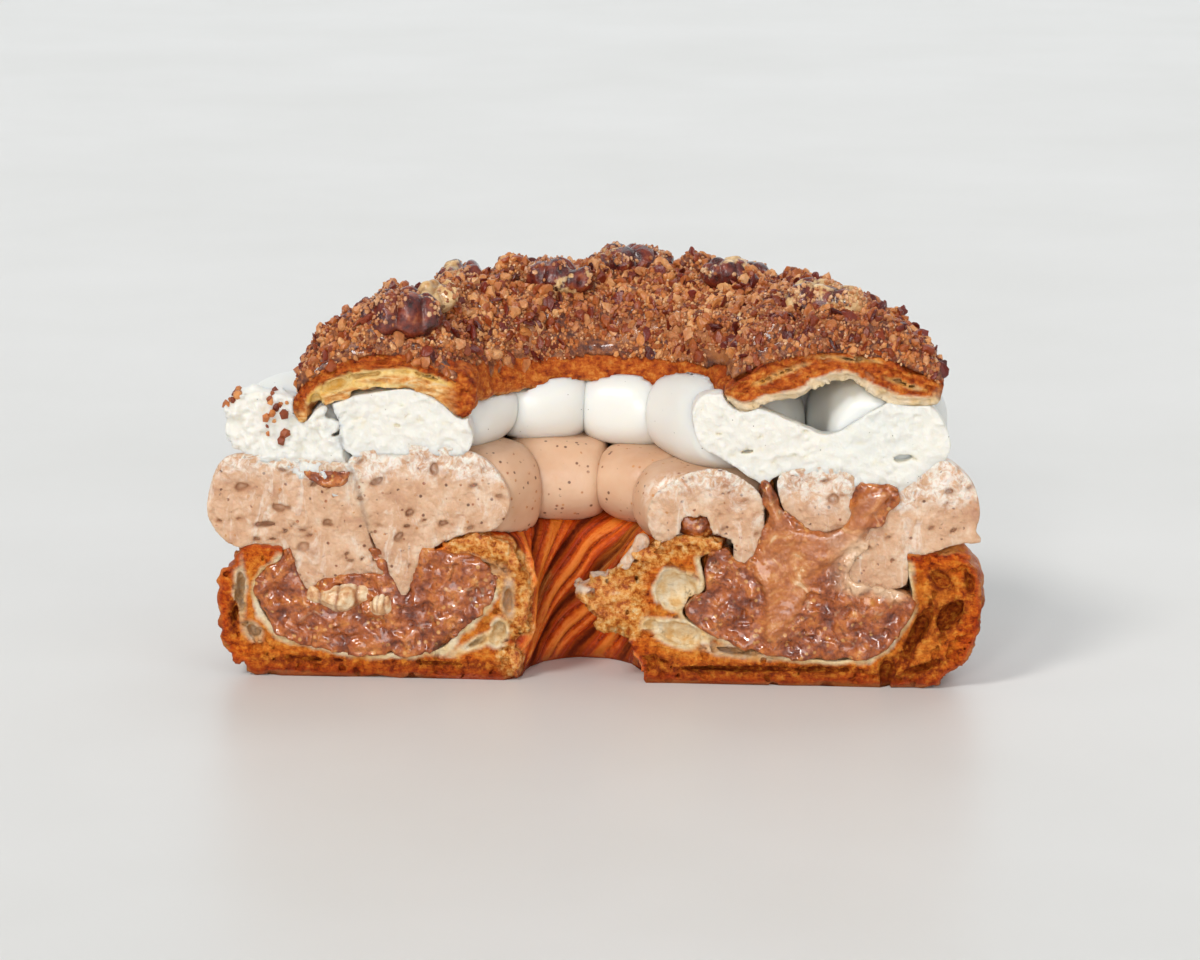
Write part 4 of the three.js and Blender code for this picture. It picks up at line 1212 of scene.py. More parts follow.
paint = Finish(
    "pecan_cream_finish", Roughness=0.42, Subsurface_Weight=0.3,
    Subsurface_Radius=(0.004, 0.0022, 0.0014), Subsurface_Scale=0.6,
)
skin = paint.ramp(paint.noise(7, 3), [(0.3, "cc9f7d"), (0.7, "dab697")])
flesh = paint.ramp(
    paint.plus(paint.noise(3.8, 6, 0.65), paint.times(paint.value("tear"), 0.12)),
    [(0.30, "c39476"), (0.44, "d3a784"), (0.56, "deb797"), (0.72, "ead0b6")],
)
tone = paint.blend(paint.value("cut"), skin, flesh)
speckTint = paint.ramp(paint.noise(2.1, 1), [(0.42, "5c3222"), (0.52, "a0522e"), (0.60, "c98a4c")])
tone = speckled(paint, tone, (0.15, 0.24), 1.7, 0.47, speckTint)
smear = paint.ramp(paint.noise(4.2, 6, 0.66, 1.4, (1, 1, 0.4)), [(0.54, 0.0), (0.64, 1.0)])
tone = paint.blend(paint.times(paint.times(smear, paint.value("cut")), 0.55), tone, "f1e4d6")
white = paint.times(
    paint.value("milk"), paint.ramp(paint.noise(1.6, 5, 0.7, 1.0), [(0.42, 0.0), (0.58, 1.0)])
)
tone = paint.blend(paint.times(white, 0.9), tone, "f6f0e6")
# Painted shade: the pits in the cut faces are darkened.
tone = paint.blend(paint.times(paint.value("pit"), 0.5), tone, "b07a52")
relief = paint.bump(paint.noise(0.55, 5, 0.68), paint.times(paint.value("cut"), 0.9), 0.5)
relief = paint.bump(paint.cells(0.9), paint.times(paint.value("cut"), 0.35), 0.4, relief)
relief = paint.bump(paint.noise(1.6, 3), 0.2, 0.5, relief)
finished(
    pecanCream,
    paint.end(Base_Color=tone, Normal=relief, Roughness=paint.spread(paint.value("cut"), 0, 1, 0.36, 0.6)),
    "pecan_cream", "pecan_cream_lump", *rowNames("pecan_cream"),
)

# Vanilla cream.
vanillaRight = Outline([
    (17.4, 41.5), (18.0, 44.2), (20.3, 45.4), (23.1, 45.3), (27.8, 43.4), (33.9, 40.7),
    (38.6, 39.4), (44.4, 42.9), (50.1, 45.6), (54.0, 43.8), (56.2, 40.2), (56.3, 37.2),
    (54.0, 34.1), (53.4, 31.2), (50.1, 30.2), (44.7, 31.1), (39.3, 33.2), (30.8, 33.4),
    (28.5, 31.8), (25.4, 33.6), (21.6, 35.8), (18.5, 38.2),
])
vanillaLeftOuter = Outline([
    (54.7, 39.1), (54.3, 42.3), (52.1, 44.5), (49.2, 45.0), (45.6, 44.2), (42.8, 42.3),
    (40.4, 40.4), (38.0, 38.0), (36.4, 35.2), (35.6, 31.4), (37.0, 29.2), (39.0, 29.6),
    (39.8, 32.4), (41.6, 31.4), (43.8, 31.8), (45.6, 33.8), (47.0, 34.0), (50.7, 34.6),
    (53.5, 36.5),
])
vanillaLeftInner = Outline([
    (37.0, 40.7), (35.3, 42.9), (30.9, 44.5), (27.1, 45.7), (24.0, 45.7), (20.6, 44.2), (18.1, 42.0),
    (16.9, 39.1), (17.0, 37.0), (18.9, 35.8), (24.8, 35.8), (30.9, 35.8), (35.3, 35.4), (36.8, 37.2),
])


# Torn lumps between the two left-hand dollops: place and size.
tornLumps = [
    (-44.6, 40.2, 2.7), (-41.6, 37.8, 2.9), (-45.0, 36.6, 2.3), (-39.7, 34.6, 2.5),
    (-42.4, 33.8, 2.1), (-40.4, 40.0, 2.1), (-37.9, 36.8, 1.9), (-38.2, 39.6, 1.6),
    (-46.8, 38.4, 1.8), (-43.4, 41.9, 2.1), (-40.8, 42.2, 1.8),
]


def vanillaLevels(angle, z):
    return creamMeet(angle) - z


def vanillaBall(d, cutOne=None):
    def field(x, y, z):
        if cutOne is None:
            value = np.maximum(insideDollop(x, y, z, d), 1.6 - y)
            return np.maximum(value, 0.05 - capShell(x, y, z))
        outline, reach, lead = cutOne
        value = cutBall(x, y, z, outline, reach, lead) - 0.25 * noise(x, y, z, 5, 64)
        value = value - 0.25
        if outline is vanillaLeftInner:
            value = value - 1.8 * smooth(40.5, 43.5, z)
        if outline is vanillaLeftOuter:
            for cx, cz, size in tornLumps:
                value = smoothMin(
                    value, ellipsoid(x, y, z, (cx, 0.9, cz), (size, size * 0.8, size * 0.9)), 0.4
                )
        fluffy = smooth(-33, -37, x)
        value = value - (0.2 + 0.75 * fluffy) * layered(x, y, z, 2.1, 2, 75)
        value = np.maximum(value, 0.05 - capShell(x, y, z))
        value = np.maximum(value, cutFace(x, y, z, 71, creamLook["tears"] * mix(1.0, 2.0, fluffy)))
        return np.maximum(value, -pitsAt(x, y, z, vanillaPits))
    return field


def insideVanilla(a):
    return creamLook["whiteInside"], float(whiteRowsMeetAt(a))


def outsideVanilla(a):
    return float(whiteRowsMeetAt(a)), creamLook["whiteOutside"] + creamLook["whiteLean"] * math.cos(a)


vanillaInner = dollopRow(
    vanillaInnerAngles, insideVanilla,
    lambda a: (float(creamMeet(a)) - 1.8, mix(45.4, 46.0, a / math.pi)),
    lambda r, a: r - whiteRowsMeetAt(a), vanillaLevels, 21,
)
vanillaOuter = dollopRow(
    vanillaOuterAngles, outsideVanilla,
    lambda a: (float(creamMeet(a)) - 1.6, mix(45.4, 45.0, a / math.pi)),
    lambda r, a: whiteRowsMeetAt(a) - r, vanillaLevels, 31,
)
# The dollops behind the notch at the right-hand cut stand close to it and reach up to the cap.
near, second = vanillaOuter[1], vanillaInner[1]
near.update(angle=math.radians(16), before=math.radians(2.0), height=near["height"] + 1.2)
near["half"] = (near["half"][0] + 0.6, 13.2, near["half"][2] + 1.6)
second.update(angle=math.radians(37), before=math.radians(12), height=second["height"] + 0.5)
second["half"] = (second["half"][0], 12.5, second["half"][2] + 0.8)
last = vanillaOuter[-2]
last.update(angle=math.radians(164), after=math.radians(175.5))
last["half"] = (last["half"][0], 11.6, last["half"][2])
cutVanilla = (
    (vanillaRight, 8.6, 1.2, ((15, 59), (-0.9, 12), (28, 48))),
    (vanillaLeftInner, 8.6, 0.0, ((-40, -15), (-0.9, 10), (33, 48))),
    (vanillaLeftOuter, 9.2, 1.0, ((-57, -34), (-0.9, 11), (27, 48))),
)
points, faces, values = creamParts(vanillaInner, vanillaOuter, vanillaBall, cutVanilla, vanillaPits)
x, y, z = points.T
values["cover"] = smooth(4, 2, y) * np.maximum(
    0.7 * smooth(3.2, 0.6, np.hypot(x + 46.2, 0.6 * (z - 41.6))),
    smooth(2.0, 0.9, np.hypot(x + 53.8, z - 44.6))
)
vanillaCream = makeMesh("vanilla_cream", inFrame(points), faces, values=values)
print("vanilla cream points", len(points))

paint = Finish(
    "vanilla_cream_finish", Roughness=0.4, Subsurface_Weight=0.5,
    Subsurface_Radius=(0.005, 0.0038, 0.0026), Subsurface_Scale=0.8,
)
tone = paint.blend(paint.value("cut"), "e4e4de", "e2dfd6")
tone = speckled(paint, tone, (0.055, 0.085), 2.3, 0.52, "4a3a2c")
tone = paint.blend(paint.times(paint.value("pit"), 0.2), tone, "ead9a8")
relief = paint.bump(paint.noise(0.7, 5, 0.62), paint.times(paint.value("cut"), 0.45), 0.6)
relief = paint.bump(paint.noise(2.2, 2), 0.12, 0.5, relief)
finished(
    vanillaCream,
    paint.end(Base_Color=tone, Normal=relief, Roughness=paint.spread(paint.value("cut"), 0, 1, 0.34, 0.62)),
    "vanilla_cream", *rowNames("vanilla_cream"),
)

# Pastry top.

# Leaves of air between the layers at the cuts: side, radius, height, half width, height, tilt.
capSlits = [
    (1, 41.0, 51.4, 2.4, 0.22, 0.05), (1, 50.0, 47.6, 2.2, 0.22, 0.3), (1, 30.0, 48.6, 2.0, 0.2, -0.4),
    (-1, 37.4, 46.2, 2.6, 0.9, 0.3), (-1, 33.0, 47.8, 3.0, 0.45, 0.14), (-1, 28.6, 48.3, 2.4, 0.35, 0.0),
    (-1, 40.6, 43.6, 1.0, 1.2, 0.3), (-1, 23.2, 47.6, 2.2, 0.25, -0.3), (-1, 30.5, 46.3, 2.4, 0.2, 0.0),
]


def slitsAt(x, y, z):
    best = np.full(np.shape(x), farOff)
    for side, r, h, a, b, tilt in capSlits:
        along, over = tilted(side * x - r, z - h, -tilt)
        best = np.minimum(best, ellipsoid(along, y, over, (0, -0.2, 0), (a, 2.5, b)))
    return best + 0.2 * noise(x, y, z, 1.6, 35)


def capField(x, y, z):
    value = capShell(x, y, z)
    share = capShare(*ringOf(x, y))
    atCut = smooth(6.0, 1.0, y)
    atRim = np.maximum(smooth(0.16, 0.04, share), smooth(0.84, 0.96, share))
    rough = mix(0.22, 1.0, np.maximum(atCut, atRim))
    value = value - capLook["crags"] * rough * layered(x, y, z, 1.9, 3, 36)
    value = value + capLook["lumps"] * rough * np.maximum(layered(x, y, z, 3.4, 2, 37) - 0.05, 0)
    leaves = np.sin(2 * math.pi * (capShell(x, y, z) * capLook["leafSpacing"] + 0.6 * noise(x, y, z, 4, 33)))
    torn = capLook["tear"] * (0.5 + 0.5 * leaves)
    torn = torn + capLook["tearMore"] * smooth(-0.1, 0.5, layered(x, y, z, 1.4, 2, 34))
    value = np.maximum(value, 0.05 + torn * smooth(3.2, 0.4, y) - y)
    return np.maximum(value, -slitsAt(x, y, z))


points, faces = surfaceOf(capField, *gridOf(capLook))
x, y, z = points.T
capPastry = makeMesh("cap_pastry", inFrame(points), faces, values={
    "bake": -capShell(x, y, z),
    "cut": smooth(1.8, 0.8, y),
    "share": capShare(*ringOf(x, y)),
    "slit": smooth(0.35, 0.05, np.abs(slitsAt(x, y, z))),
    "under": smooth(-0.1, -0.7, fieldAndSlope(capShell, points)[1][:, 2]),
    "left": (x < 0) * smooth(9, 3, y),
    "atRight": (x > 0) * smooth(9, 3, y),
})
print("cap points", len(points))
paint = Finish("cap_finish", Roughness=0.42, Specular_IOR_Level=0.22)
grit = paint.noise(1.1, 7, 0.72)
fibre = paint.noise(2.4, 6, 0.66, 0.6, (1, 1, 2.8))
outside = paint.ramp(
    paint.plus(paint.times(paint.noise(5, 4, 0.6), 0.6), paint.times(grit, 0.4)),
    [(0.34, "5f1c05"), (0.45, "8e330b"), (0.55, "ac4a14"), (0.66, "c47230")],
)
rough = paint.ramp(
    paint.plus(paint.times(grit, 0.6), paint.times(fibre, 0.4)),
    [(0.36, "5f1c08"), (0.43, "9a3c0b"), (0.50, "bc5816"), (0.57, "d47c2c"), (0.67, "e8a458")],
)
inward = paint.plus(paint.value("share"), paint.times(paint.swing(fibre), 0.05))
outside = paint.blend(paint.spread(inward, 0.04, 0.0), outside, rough)
outside = paint.blend(paint.spread(inward, 0.90, 0.96), outside, rough)
underside = paint.ramp(grit, [(0.36, "a24c18"), (0.48, "ca7c36"), (0.60, "e4a866")])
outside = paint.blend(paint.value("under"), outside, underside)
skin = paint.ramp(paint.noise(1.8, 4), [(0.35, "ecd3a0"), (0.65, "f8ecd0")])
inner = paint.times(paint.value("under"), paint.spread(paint.value("share"), 0.22, 0.34))
inner = paint.times(inner, paint.spread(paint.value("share"), 0.92, 0.84))
outside = paint.blend(paint.times(inner, 0.5), outside, skin)
burnt = paint.ramp(grit, [(0.40, "541604"), (0.52, "903009"), (0.66, "bb5b1b")])
nearSkin = paint.spread(paint.plus(paint.value("bake"), paint.swing(fibre, 0.9)), 0.9, 0.2)
layers = paint.blend(nearSkin, rough, burnt)
inside = paint.times(paint.value("cut"), paint.spread(paint.value("bake"), 0.0, 0.35))
surface = paint.blend(inside, outside, layers)
pale = paint.times(paint.value("under"), paint.value("atRight"))
pale = paint.times(pale, paint.spread(paint.plus(paint.value("bake"), paint.swing(fibre, 0.8)), 1.7, 1.2))
surface = paint.blend(paint.times(pale, 0.8), surface, skin)
leaf = paint.ramp(fibre, [(0.34, "d2803a"), (0.46, "eeb062"), (0.56, "f8d496"), (0.68, "feecc6")])
inLeaf = paint.times(paint.times(paint.value("left"), paint.value("cut")), paint.value("under"))
inLeaf = paint.times(inLeaf, paint.spread(paint.value("share"), 0.06, 0.16))
surface = paint.blend(paint.times(inLeaf, 0.85), surface, leaf)
yolky = paint.ramp(paint.noise(1.5, 4), [(0.35, "f0bd5c"), (0.65, "fae0a0")])
lit = paint.times(paint.value("slit"), paint.spread(paint.value("left"), 0, 1, 0.5, 1.0))
surface = paint.blend(lit, surface, yolky)
relief = paint.bump(grit, 0.9, 0.6)
relief = paint.bump(fibre, 0.6, 0.7, relief)
gloss = paint.spread(paint.value("slit"), 0, 1, 0.5, 0.22)
finished(
    capPastry, paint.end(Base_Color=surface, Normal=relief, Roughness=gloss), "crust", "pastry_top",
)

# Nut crumble.
crumbleLook = {
    "thickness": 3.6, "edge": 0.6, "lumps": 2.2, "small": 1.0,
    "grid": 0.5, "behind": (0.5, None, 1.0), "box": ((-46, 57), (-1, 53), (40, 62)),
    "rimRight": 43.8, "rimLeft": 41.2, "crownRight": 53.6, "crownLeft": 52.2, "rimFace": 4.6,
}


def capTopAt(share, angle):
    across = np.clip(angle / math.pi, 0, 1)
    rise = np.sin(math.pi * np.clip(share, 0, 1)) ** 0.72
    rim = mix(crumbleLook["rimRight"], crumbleLook["rimLeft"], across) + crumbleLook["rimFace"]
    return mix(rim, mix(crumbleLook["crownRight"], crumbleLook["crownLeft"], across), rise)


# Clods on the heap: angle, share of the cap's width, half width, half height.
crumbleClods = [
    (176, 0.62, 3.6, 4.6), (166, 0.2, 3.0, 3.6), (138, 0.42, 4.2, 5.6), (128, 0.3, 3.2, 4.6),
    (112, 0.55, 5.4, 6.4), (92, 0.4, 5.2, 5.8), (98, 0.72, 4.6, 5.6), (72, 0.4, 3.6, 5.6),
    (66, 0.6, 4.8, 6.2), (38, 0.35, 3.6, 5.2), (42, 0.66, 4.2, 5.4), (26, 0.6, 3.4, 5.8),
    (20, 0.3, 2.6, 4.0), (8, 0.7, 3.4, 4.4), (5, 0.28, 2.6, 3.4), (150, 0.7, 4.4, 5.4),
    (82, 0.85, 3.4, 3.8), (118, 0.85, 3.4, 3.8), (54, 0.2, 2.6, 3.4), (88, 0.22, 2.8, 3.2),
    (156, 0.5, 3.0, 5.4), (46, 0.45, 3.0, 6.0),
]


def crumbleParts(x, y, z):
    angle, radius = ringOf(x, y)
    inner, outer = capSides(angle)
    share = (radius - inner) / (outer - inner)
    ragged = 0.07 * noise(x, y, 0 * z, 6, 91) + 0.03 * noise(x, y, 0 * z, 2.5, 92)
    back = smooth(0.35, 0.8, angle) * smooth(math.pi - 0.35, math.pi - 0.8, angle)
    start = mix(0.03, -0.03, back) + ragged * 0.9
    heap = smooth(start, start + 0.12, share) * smooth(1.0 + ragged, 0.86 + ragged, share)
    heap = heap * mix(0.25, 1, smooth(0.3, 3.5, y + 3 * noise(x, 0 * y, 0 * z, 5, 93)))
    depth = crumbleLook["edge"] * (heap > 0.01) + heap * (
        crumbleLook["thickness"] + crumbleLook["lumps"] * layered(x, y, z, 6.5, 2, 94)
    )
    for turn, part, wide, high in crumbleClods:
        turn = math.radians(turn)
        across = inner + part * (outer - inner)
        away = ((radius - across) ** 2 + (across * (angle - turn)) ** 2) / wide ** 2
        depth = np.maximum(depth, heap ** 0.5 * (high + 1.0) * np.sqrt(np.maximum(1 - away, 0)))
    return share, angle, depth, heap


def crumbleField(x, y, z):
    share, angle, depth, heap = crumbleParts(x, y, z)
    top = capTopAt(share, angle)
    clod = crumbleLook["small"] * layered(x, y, z, 2.2, 2, 95)
    value = (z - top - depth) * 0.75 - clod * heap
    value = np.maximum(value, (top - 1.2 - z) * 0.75)
    value = np.maximum(value, 0.15 - depth)
    value = np.maximum(value, 0.3 + 0.5 * noise(x, y, z, 2.5, 96) - y)
    return np.maximum(value, np.maximum(-share, share - 1) * 20)


points, faces = surfaceOf(crumbleField, *gridOf(crumbleLook), 3.5, 1)
x, y, z = points.T
share, angle, depth, heap = crumbleParts(x, y, z)
upward = facing(crumbleField, points)[:, 2]
crumbleCore = makeMesh("crumble_core", inFrame(points), faces, values={
    "cover": smooth(-0.7, -0.15, upward) * smooth(0.02, 0.3, heap),
    "bare": smooth(0.06, 0.02, share) * smooth(0.1, -0.15, noise(x, y, z, 4.5, 98)),
})
print("crumble points", len(points))
paint = Finish("crumble_core_finish", Roughness=0.4, Coat_Weight=0.4, Coat_Roughness=0.1)
# The heap's own colour under the grains, mottled and darker than them, partly painted shade in the gaps
# between the grains; bare patches are lighter.
core = paint.ramp(
    paint.noise(1.6, 5, 0.7), [(0.36, "3e1408"), (0.47, "70340f"), (0.58, "a05c28"), (0.72, "c88e50")]
)
relief = paint.bump(paint.noise(0.7, 4, 0.7), 0.8, 0.6)
core = paint.blend(paint.times(paint.value("bare"), 0.8), core, "a4683c")
paint.feed(relief.node.inputs["Strength"], paint.spread(paint.value("bare"), 0, 1, 0.8, 0.25))
shine = paint.spread(paint.value("bare"), 0, 1, 0.5, 0.2)
finished(crumbleCore, paint.end(Base_Color=core, Normal=relief, Roughness=shine), "crumble", "nut_crumble")


def grainMesh(name, detail, seed, stretch):
    # A broken bit of nut: an angular lump with flat broken faces.
    random = np.random.default_rng(seed)
    bpy.ops.mesh.primitive_ico_sphere_add(subdivisions=detail, radius=0.5)
    thing = bpy.context.object
    thing.name = name
    mesh = thing.data
    p = np.empty(len(mesh.vertices) * 3, dtype=np.float32)
    mesh.vertices.foreach_get("co", p)
    p = p.reshape(-1, 3)
    for _ in range(5):
        n = random.normal(size=3)
        n /= np.linalg.norm(n)
        over = np.maximum(p @ n - random.uniform(0.26, 0.44), 0)
        p -= over[:, None] * n
    p *= 1 + random.uniform(-0.16, 0.16, size=(len(p), 1))
    p *= np.array(stretch)
    mesh.vertices.foreach_set("co", p.ravel())
    mesh.polygons.foreach_set("use_smooth", np.full(len(mesh.polygons), False))
    return thing


def scatterGroup(name, shapes, material):
    # Grains strewn over a surface where its "cover" allows, each with its own size and tint.
    tree = bpy.data.node_groups.new(name, "GeometryNodeTree")
    face = tree.interface
    face.new_socket("Geometry", in_out="INPUT", socket_type="NodeSocketGeometry")
    for label, default in (("Density", 1000.0), ("Smallest", 0.5), ("Largest", 1.0)):
        socket = face.new_socket(label, in_out="INPUT", socket_type="NodeSocketFloat")
        socket.default_value = default
    face.new_socket("Seed", in_out="INPUT", socket_type="NodeSocketInt")
    face.new_socket("Geometry", in_out="OUTPUT", socket_type="NodeSocketGeometry")
    add = tree.nodes.new
    link = tree.links.new
    entry, leave = add("NodeGroupInput"), add("NodeGroupOutput")
    cover = add("GeometryNodeInputNamedAttribute")
    cover.data_type = "FLOAT"
    cover.inputs["Name"].default_value = "cover"
    amount = add("ShaderNodeMath")
    amount.operation = "MULTIPLY"
    link(cover.outputs["Attribute"], amount.inputs[0])
    link(entry.outputs["Density"], amount.inputs[1])
    strew = add("GeometryNodeDistributePointsOnFaces")
    link(entry.outputs["Geometry"], strew.inputs["Mesh"])
    link(amount.outputs[0], strew.inputs["Density"])
    link(entry.outputs["Seed"], strew.inputs["Seed"])
    heap = add("GeometryNodeJoinGeometry")
    for shape in shapes:
        bit = add("GeometryNodeObjectInfo")
        bit.inputs["Object"].default_value = shape
        bit.inputs["As Instance"].default_value = True
        link(bit.outputs["Geometry"], heap.inputs[0])
    turn = add("FunctionNodeRandomValue")
    turn.data_type = "FLOAT_VECTOR"
    turn.inputs["Max"].default_value = (6.283, 6.283, 6.283)
    size = add("FunctionNodeRandomValue")
    size.data_type = "FLOAT"
    link(entry.outputs["Smallest"], size.inputs[2])
    link(entry.outputs["Largest"], size.inputs[3])
    link(entry.outputs["Seed"], size.inputs["Seed"])
    place = add("GeometryNodeInstanceOnPoints")
    place.inputs["Pick Instance"].default_value = True
    link(strew.outputs["Points"], place.inputs["Points"])
    link(heap.outputs[0], place.inputs["Instance"])
    link(turn.outputs[0], place.inputs["Rotation"])
    link(size.outputs[1], place.inputs["Scale"])
    tint = add("FunctionNodeRandomValue")
    tint.data_type = "FLOAT"
    tint.inputs["Seed"].default_value = 9
    keep = add("GeometryNodeStoreNamedAttribute")
    keep.domain = "INSTANCE"
    keep.data_type = "FLOAT"
    keep.inputs["Name"].default_value = "tint"
    link(place.outputs["Instances"], keep.inputs["Geometry"])
    link(tint.outputs[1], keep.inputs["Value"])
    real = add("GeometryNodeRealizeInstances")
    link(keep.outputs["Geometry"], real.inputs["Geometry"])
    dress = add("GeometryNodeSetMaterial")
    dress.inputs["Material"].default_value = material
    link(real.outputs["Geometry"], dress.inputs["Geometry"])
    link(dress.outputs["Geometry"], leave.inputs[0])
    return tree


def strewn(name, ground, group, **inputs):
    thing = bpy.data.objects.new(name, ground.data.copy())
    bpy.context.scene.collection.objects.link(thing)
    maker = thing.modifiers.new("strew", "NODES")
    maker.node_group = group
    for item in group.interface.items_tree:
        if item.in_out == "INPUT" and item.name in inputs:
            maker[item.identifier] = inputs[item.name]
    return converted(thing)


def nutFinish(name, tints, roughness):
    paint = Finish(
        name, Roughness=roughness, Subsurface_Weight=0.15, Subsurface_Radius=(0.002, 0.001, 0.0006),
        Subsurface_Scale=0.4,
    )
    tone = paint.ramp(paint.value("tint"), tints)
    mottle = paint.ramp(paint.noise(0.8, 4), [(0.3, 0.62), (0.7, 1.0)])
    tone = paint.blend(0.7, tone, mottle, "MULTIPLY")
    patch = paint.ramp(paint.noise(8, 3, 0.6), [(0.44, 0.0), (0.60, 1.0)])
    tone = paint.blend(paint.times(patch, 0.6), tone, "b8764e", "MULTIPLY")
    return paint.end(Base_Color=tone, Normal=paint.bump(paint.noise(0.5, 3), 0.4, 0.3))


# Pecans.
pecanLook = {"groove": 0.30, "lobes": 0.20, "ridges": 0.36, "crags": 0.45, "grid": 0.27, "sunk": 0.5}
# Angle, share of the cap's width, rise, half sizes, turn, how far the coat is gone, broken end.
crumblePecans = [
    (172, 0.42, 5.0, (6.8, 4.2, 3.9), 10, 0.05, 0), (151, 0.33, 6.0, (3.9, 3.1, 2.6), 70, 0.85, 0.3),
    (103, 0.34, 5.6, (6.8, 3.8, 3.1), -12, 0.25, -0.55), (82, 0.6, 5.8, (7.6, 4.4, 3.3), 20, 0.3, 0),
    (52, 0.44, 6.1, (5.4, 3.3, 2.7), 35, 0.4, 0.5), (15, 0.45, 5.6, (7.9, 3.6, 3.0), -14, 0.55, -0.6),
    (30, 0.2, 3.2, (3.6, 2.5, 2.1), 55, 0.1, 0.4), (125, 0.68, 5.2, (6.2, 3.8, 3.0), 80, 0.35, 0.5),
    (58, 0.76, 4.4, (6.4, 3.9, 3.0), -50, 0.2, 0),
]


def kernelMesh(centre, half, turn, broken, seed, loose=0.0):
    # A pecan half: a groove down its back, lobes on either side of it, wrinkles and a broken end.
    long, wide, high = half
    ward = math.copysign(1, broken)

    def lobesAt(along, side, x, y, z):
        return np.abs(np.sin(math.pi * (along * 1.9 + 0.22 * np.abs(side) + 0.18 * noise(x, y, z, 5, seed))))

    def field(x, y, z):
        side = y / wide
        along = x / long
        lobes = lobesAt(along, side, x, y, z)
        value = ellipsoid(
            x, y / (1 - 0.25 * np.minimum(along ** 2, 1)), z, (0, 0, 0), (long * 0.98, wide, high)
        )
        spread = np.exp(-((side / 0.2) ** 2)) * (1 - np.minimum(along ** 2, 1) * 0.7)
        value = value + pecanLook["groove"] * high * spread * smooth(-0.4, 0.4, z / high) * 1.15
        swell = pecanLook["lobes"] * high * (lobes ** 0.6 - 0.7)
        value = value - swell * (1 - spread) * smooth(-0.7, 0.2, z / high)
        wrinkles = np.abs(noise(x + 0.5 * y, y, z, 1.7, seed + 40))
        value = value - pecanLook["ridges"] * (0.35 - wrinkles)
        value = value - pecanLook["crags"] * noise(x, y, z, 2.6, seed + 60)
        value = value - loose * layered(x, y, z, 2.8, 2, seed + 80)
        if broken:
            limit = abs(broken) * long - ward * x + 0.55 * layered(x, y, z, 1.6, 2, seed + 90)
            value = np.maximum(value, -limit)
        return value

    box = [(-h - 1.6, h + 1.6) for h in half]
    grid = pecanLook["grid"]
    p, f = surfaceOf(field, *[spaced(low, high, grid) for low, high in box], 1.6, 1)
    direction = facing(field, p)
    end = np.zeros(len(p))
    if broken:
        end = smooth(0.55, 0.95, ward * direction[:, 0])
        end = end * smooth(0.9, 0.2, np.abs(ward * p[:, 0] - abs(broken) * long))
    deep = np.exp(-((p[:, 1] / wide / 0.2) ** 2)) * (p[:, 2] > 0)
    deep = np.maximum(deep, smooth(0.45, 0.1, lobesAt(p[:, 0] / long, p[:, 1] / wide, *p.T)) * 0.8)
    turned = np.stack([
        p[:, 0] * math.cos(turn) - p[:, 1] * math.sin(turn) + centre[0],
        p[:, 0] * math.sin(turn) + p[:, 1] * math.cos(turn) + centre[1], p[:, 2] + centre[2],
    ], 1)
    return turned, f, {"end": end, "deep": deep, "up": direction[:, 2]}


parts = []
for i, (turn, part, rise, half, twist, bare, broken) in enumerate(crumblePecans):
    theta = math.radians(turn)
    inner, outer = capSides(theta)
    away = inner + part * (outer - inner)
    high = float(capTopAt(part, theta)) + rise - pecanLook["sunk"]
    centre = (away * math.cos(theta), away * math.sin(theta), high)
    p, f, v = kernelMesh(centre, half, math.radians(twist), broken, 500 + 7 * i)
    v["bare"] = np.full(len(p), bare)
    v["cover"] = smooth(-0.2, 0.5, v["up"]) * smooth(-0.1, 0.25, layered(*p.T, 4.5, 2, 97)) * 0.75
    parts.append((p, f, v))
points, faces, values = joined(parts)
candied = makeMesh("candied_pecans", inFrame(points), faces, values=values)
paint = Finish("pecan_finish", Roughness=0.25, Coat_Weight=0.4, Coat_Roughness=0.1)
coat = paint.ramp(
    paint.noise(2.0, 5, 0.6), [(0.34, "2c0e0e"), (0.46, "561c18"), (0.58, "7c301c"), (0.72, "a85c34")]
)
flesh = paint.ramp(paint.noise(1.6, 5, 0.6), [(0.34, "c08a4c"), (0.5, "dcb47c"), (0.66, "eed0a0")])
gone = paint.plus(paint.value("bare"), paint.spread(paint.noise(3.4, 4, 0.6), 0.3, 0.7, -0.5, 0.65))
gone = paint.math("MAXIMUM", paint.spread(gone, 0.55, 0.72), paint.value("end"))
tone = paint.blend(gone, coat, flesh)
tone = paint.blend(paint.times(paint.value("deep"), 0.5), tone, "4a1a0c")
relief = paint.bump(paint.noise(0.8, 5, 0.65), 0.6, 0.4)
finished(
    candied, paint.end(Base_Color=tone, Normal=relief, Roughness=paint.spread(gone, 0, 1, 0.22, 0.5)),
    "candied_pecan", *numbered("pecan", 9),
)
p, f, values = kernelMesh((-37.2, 1.0, 12.9), (5.2, 3.4, 2.3), 0.12, 0, 611, 0.3)
q, g, more = kernelMesh((-31.0, -0.1, 11.9), (2.0, 1.9, 1.8), 0.0, 0, 631)
points, faces, values = joined([(p, f, values), (q, g, more)])
caught = makeMesh("kernel_in_praline", inFrame(points), faces, values=values)
paint = Finish("kernel_finish", Roughness=0.3, Coat_Weight=0.4, Coat_Roughness=0.08)
tone = paint.ramp(
    paint.noise(1.8, 5, 0.62), [(0.30, "a8663a"), (0.42, "d0a070"), (0.54, "e4c8a0"), (0.70, "f2e0c4")]
)
tone = paint.blend(paint.times(paint.value("deep"), 0.7), tone, "7a3414")
relief = paint.bump(paint.noise(0.8, 4), 0.6, 0.4)
finished(caught, paint.end(Base_Color=tone, Normal=relief), "kernel", "pecan_in_praline")

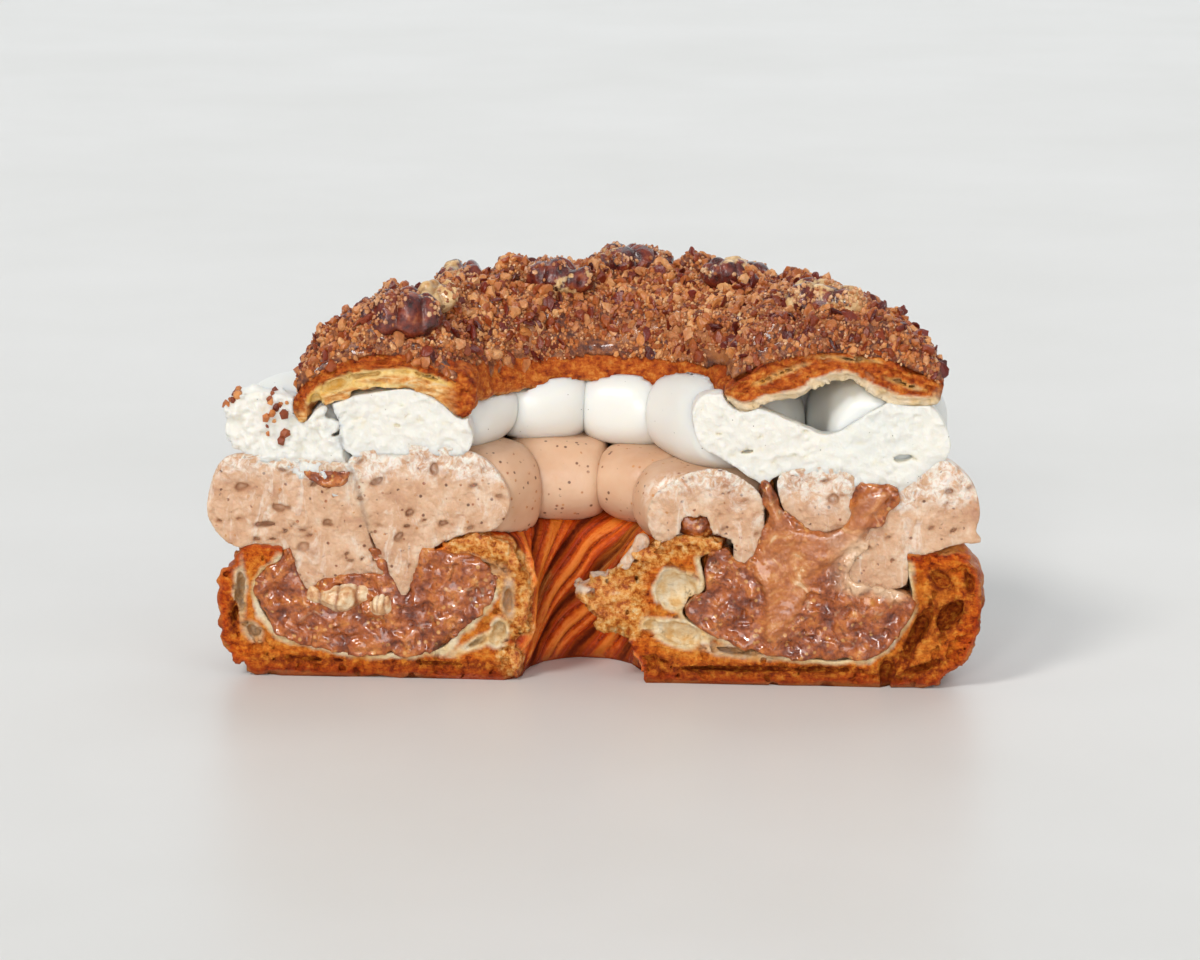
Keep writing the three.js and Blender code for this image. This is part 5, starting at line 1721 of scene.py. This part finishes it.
# Loose grains.
fineTints = [(0.0, "622008"), (0.22, "97451a"), (0.5, "bf6d30"), (0.78, "d58747"), (1.0, "e7a364")]
sugarTints = [(0.0, "a66232"), (0.3, "ca8956"), (0.7, "e0a878"), (1.0, "eec196")]
chunkTints = [(0.0, "6c1d0a"), (0.25, "a54f1f"), (0.55, "d48848"), (1.0, "ebb279")]
skinTints = [(0.0, "4a120a"), (0.5, "7c2412"), (1.0, "a04a20")]
fineFinish = nutFinish("fine_crumb_finish", fineTints, 0.45)
sugarFinish = nutFinish("sugar_grain_finish", sugarTints, 0.3)
chunkFinish = nutFinish("nut_chunk_finish", chunkTints, 0.36)
skinFinish = nutFinish("nut_skin_finish", skinTints, 0.3)
fineShapes = [grainMesh("fine_%d" % i, 1, 100 + i, (1, 0.85, 0.7)) for i in range(4)]
chunkShapes = [grainMesh("chunk_%d" % i, 2, 200 + i, (1.15, 0.85, 0.65)) for i in range(5)]
skinShapes = [grainMesh("skin_%d" % i, 2, 300 + i, (1.1, 0.9, 0.28)) for i in range(4)]
# Name, ground, shapes, finish, grains a square metre, smallest and largest in metres, seed.
scatters = [
    ("fine_crumbs", crumbleCore, fineShapes, fineFinish, 1.9e6, 0.0005, 0.0013, 4),
    ("sugar_grains", crumbleCore, fineShapes, sugarFinish, 1.8e6, 0.0004, 0.0009, 12),
    ("nut_chunks", crumbleCore, chunkShapes, chunkFinish, 2.6e5, 0.0012, 0.0025, 8),
    ("nut_skins", crumbleCore, skinShapes, skinFinish, 9.0e4, 0.0014, 0.0030, 15),
    ("strayed_crumbs", vanillaCream, fineShapes, fineFinish, 1.0e6, 0.0008, 0.0021, 33),
    ("stuck_crumbs", candied, fineShapes, sugarFinish, 3.6e6, 0.0004, 0.0012, 21),
]
for name, ground, shapes, material, density, smallest, largest, seed in scatters:
    group = scatterGroup(name + "_strewing", shapes, material)
    thing = strewn(name, ground, group, Density=density, Smallest=smallest, Largest=largest, Seed=seed)
    finished(thing, material, "crumble")
for shape in fineShapes + chunkShapes + skinShapes:
    bpy.data.objects.remove(shape)
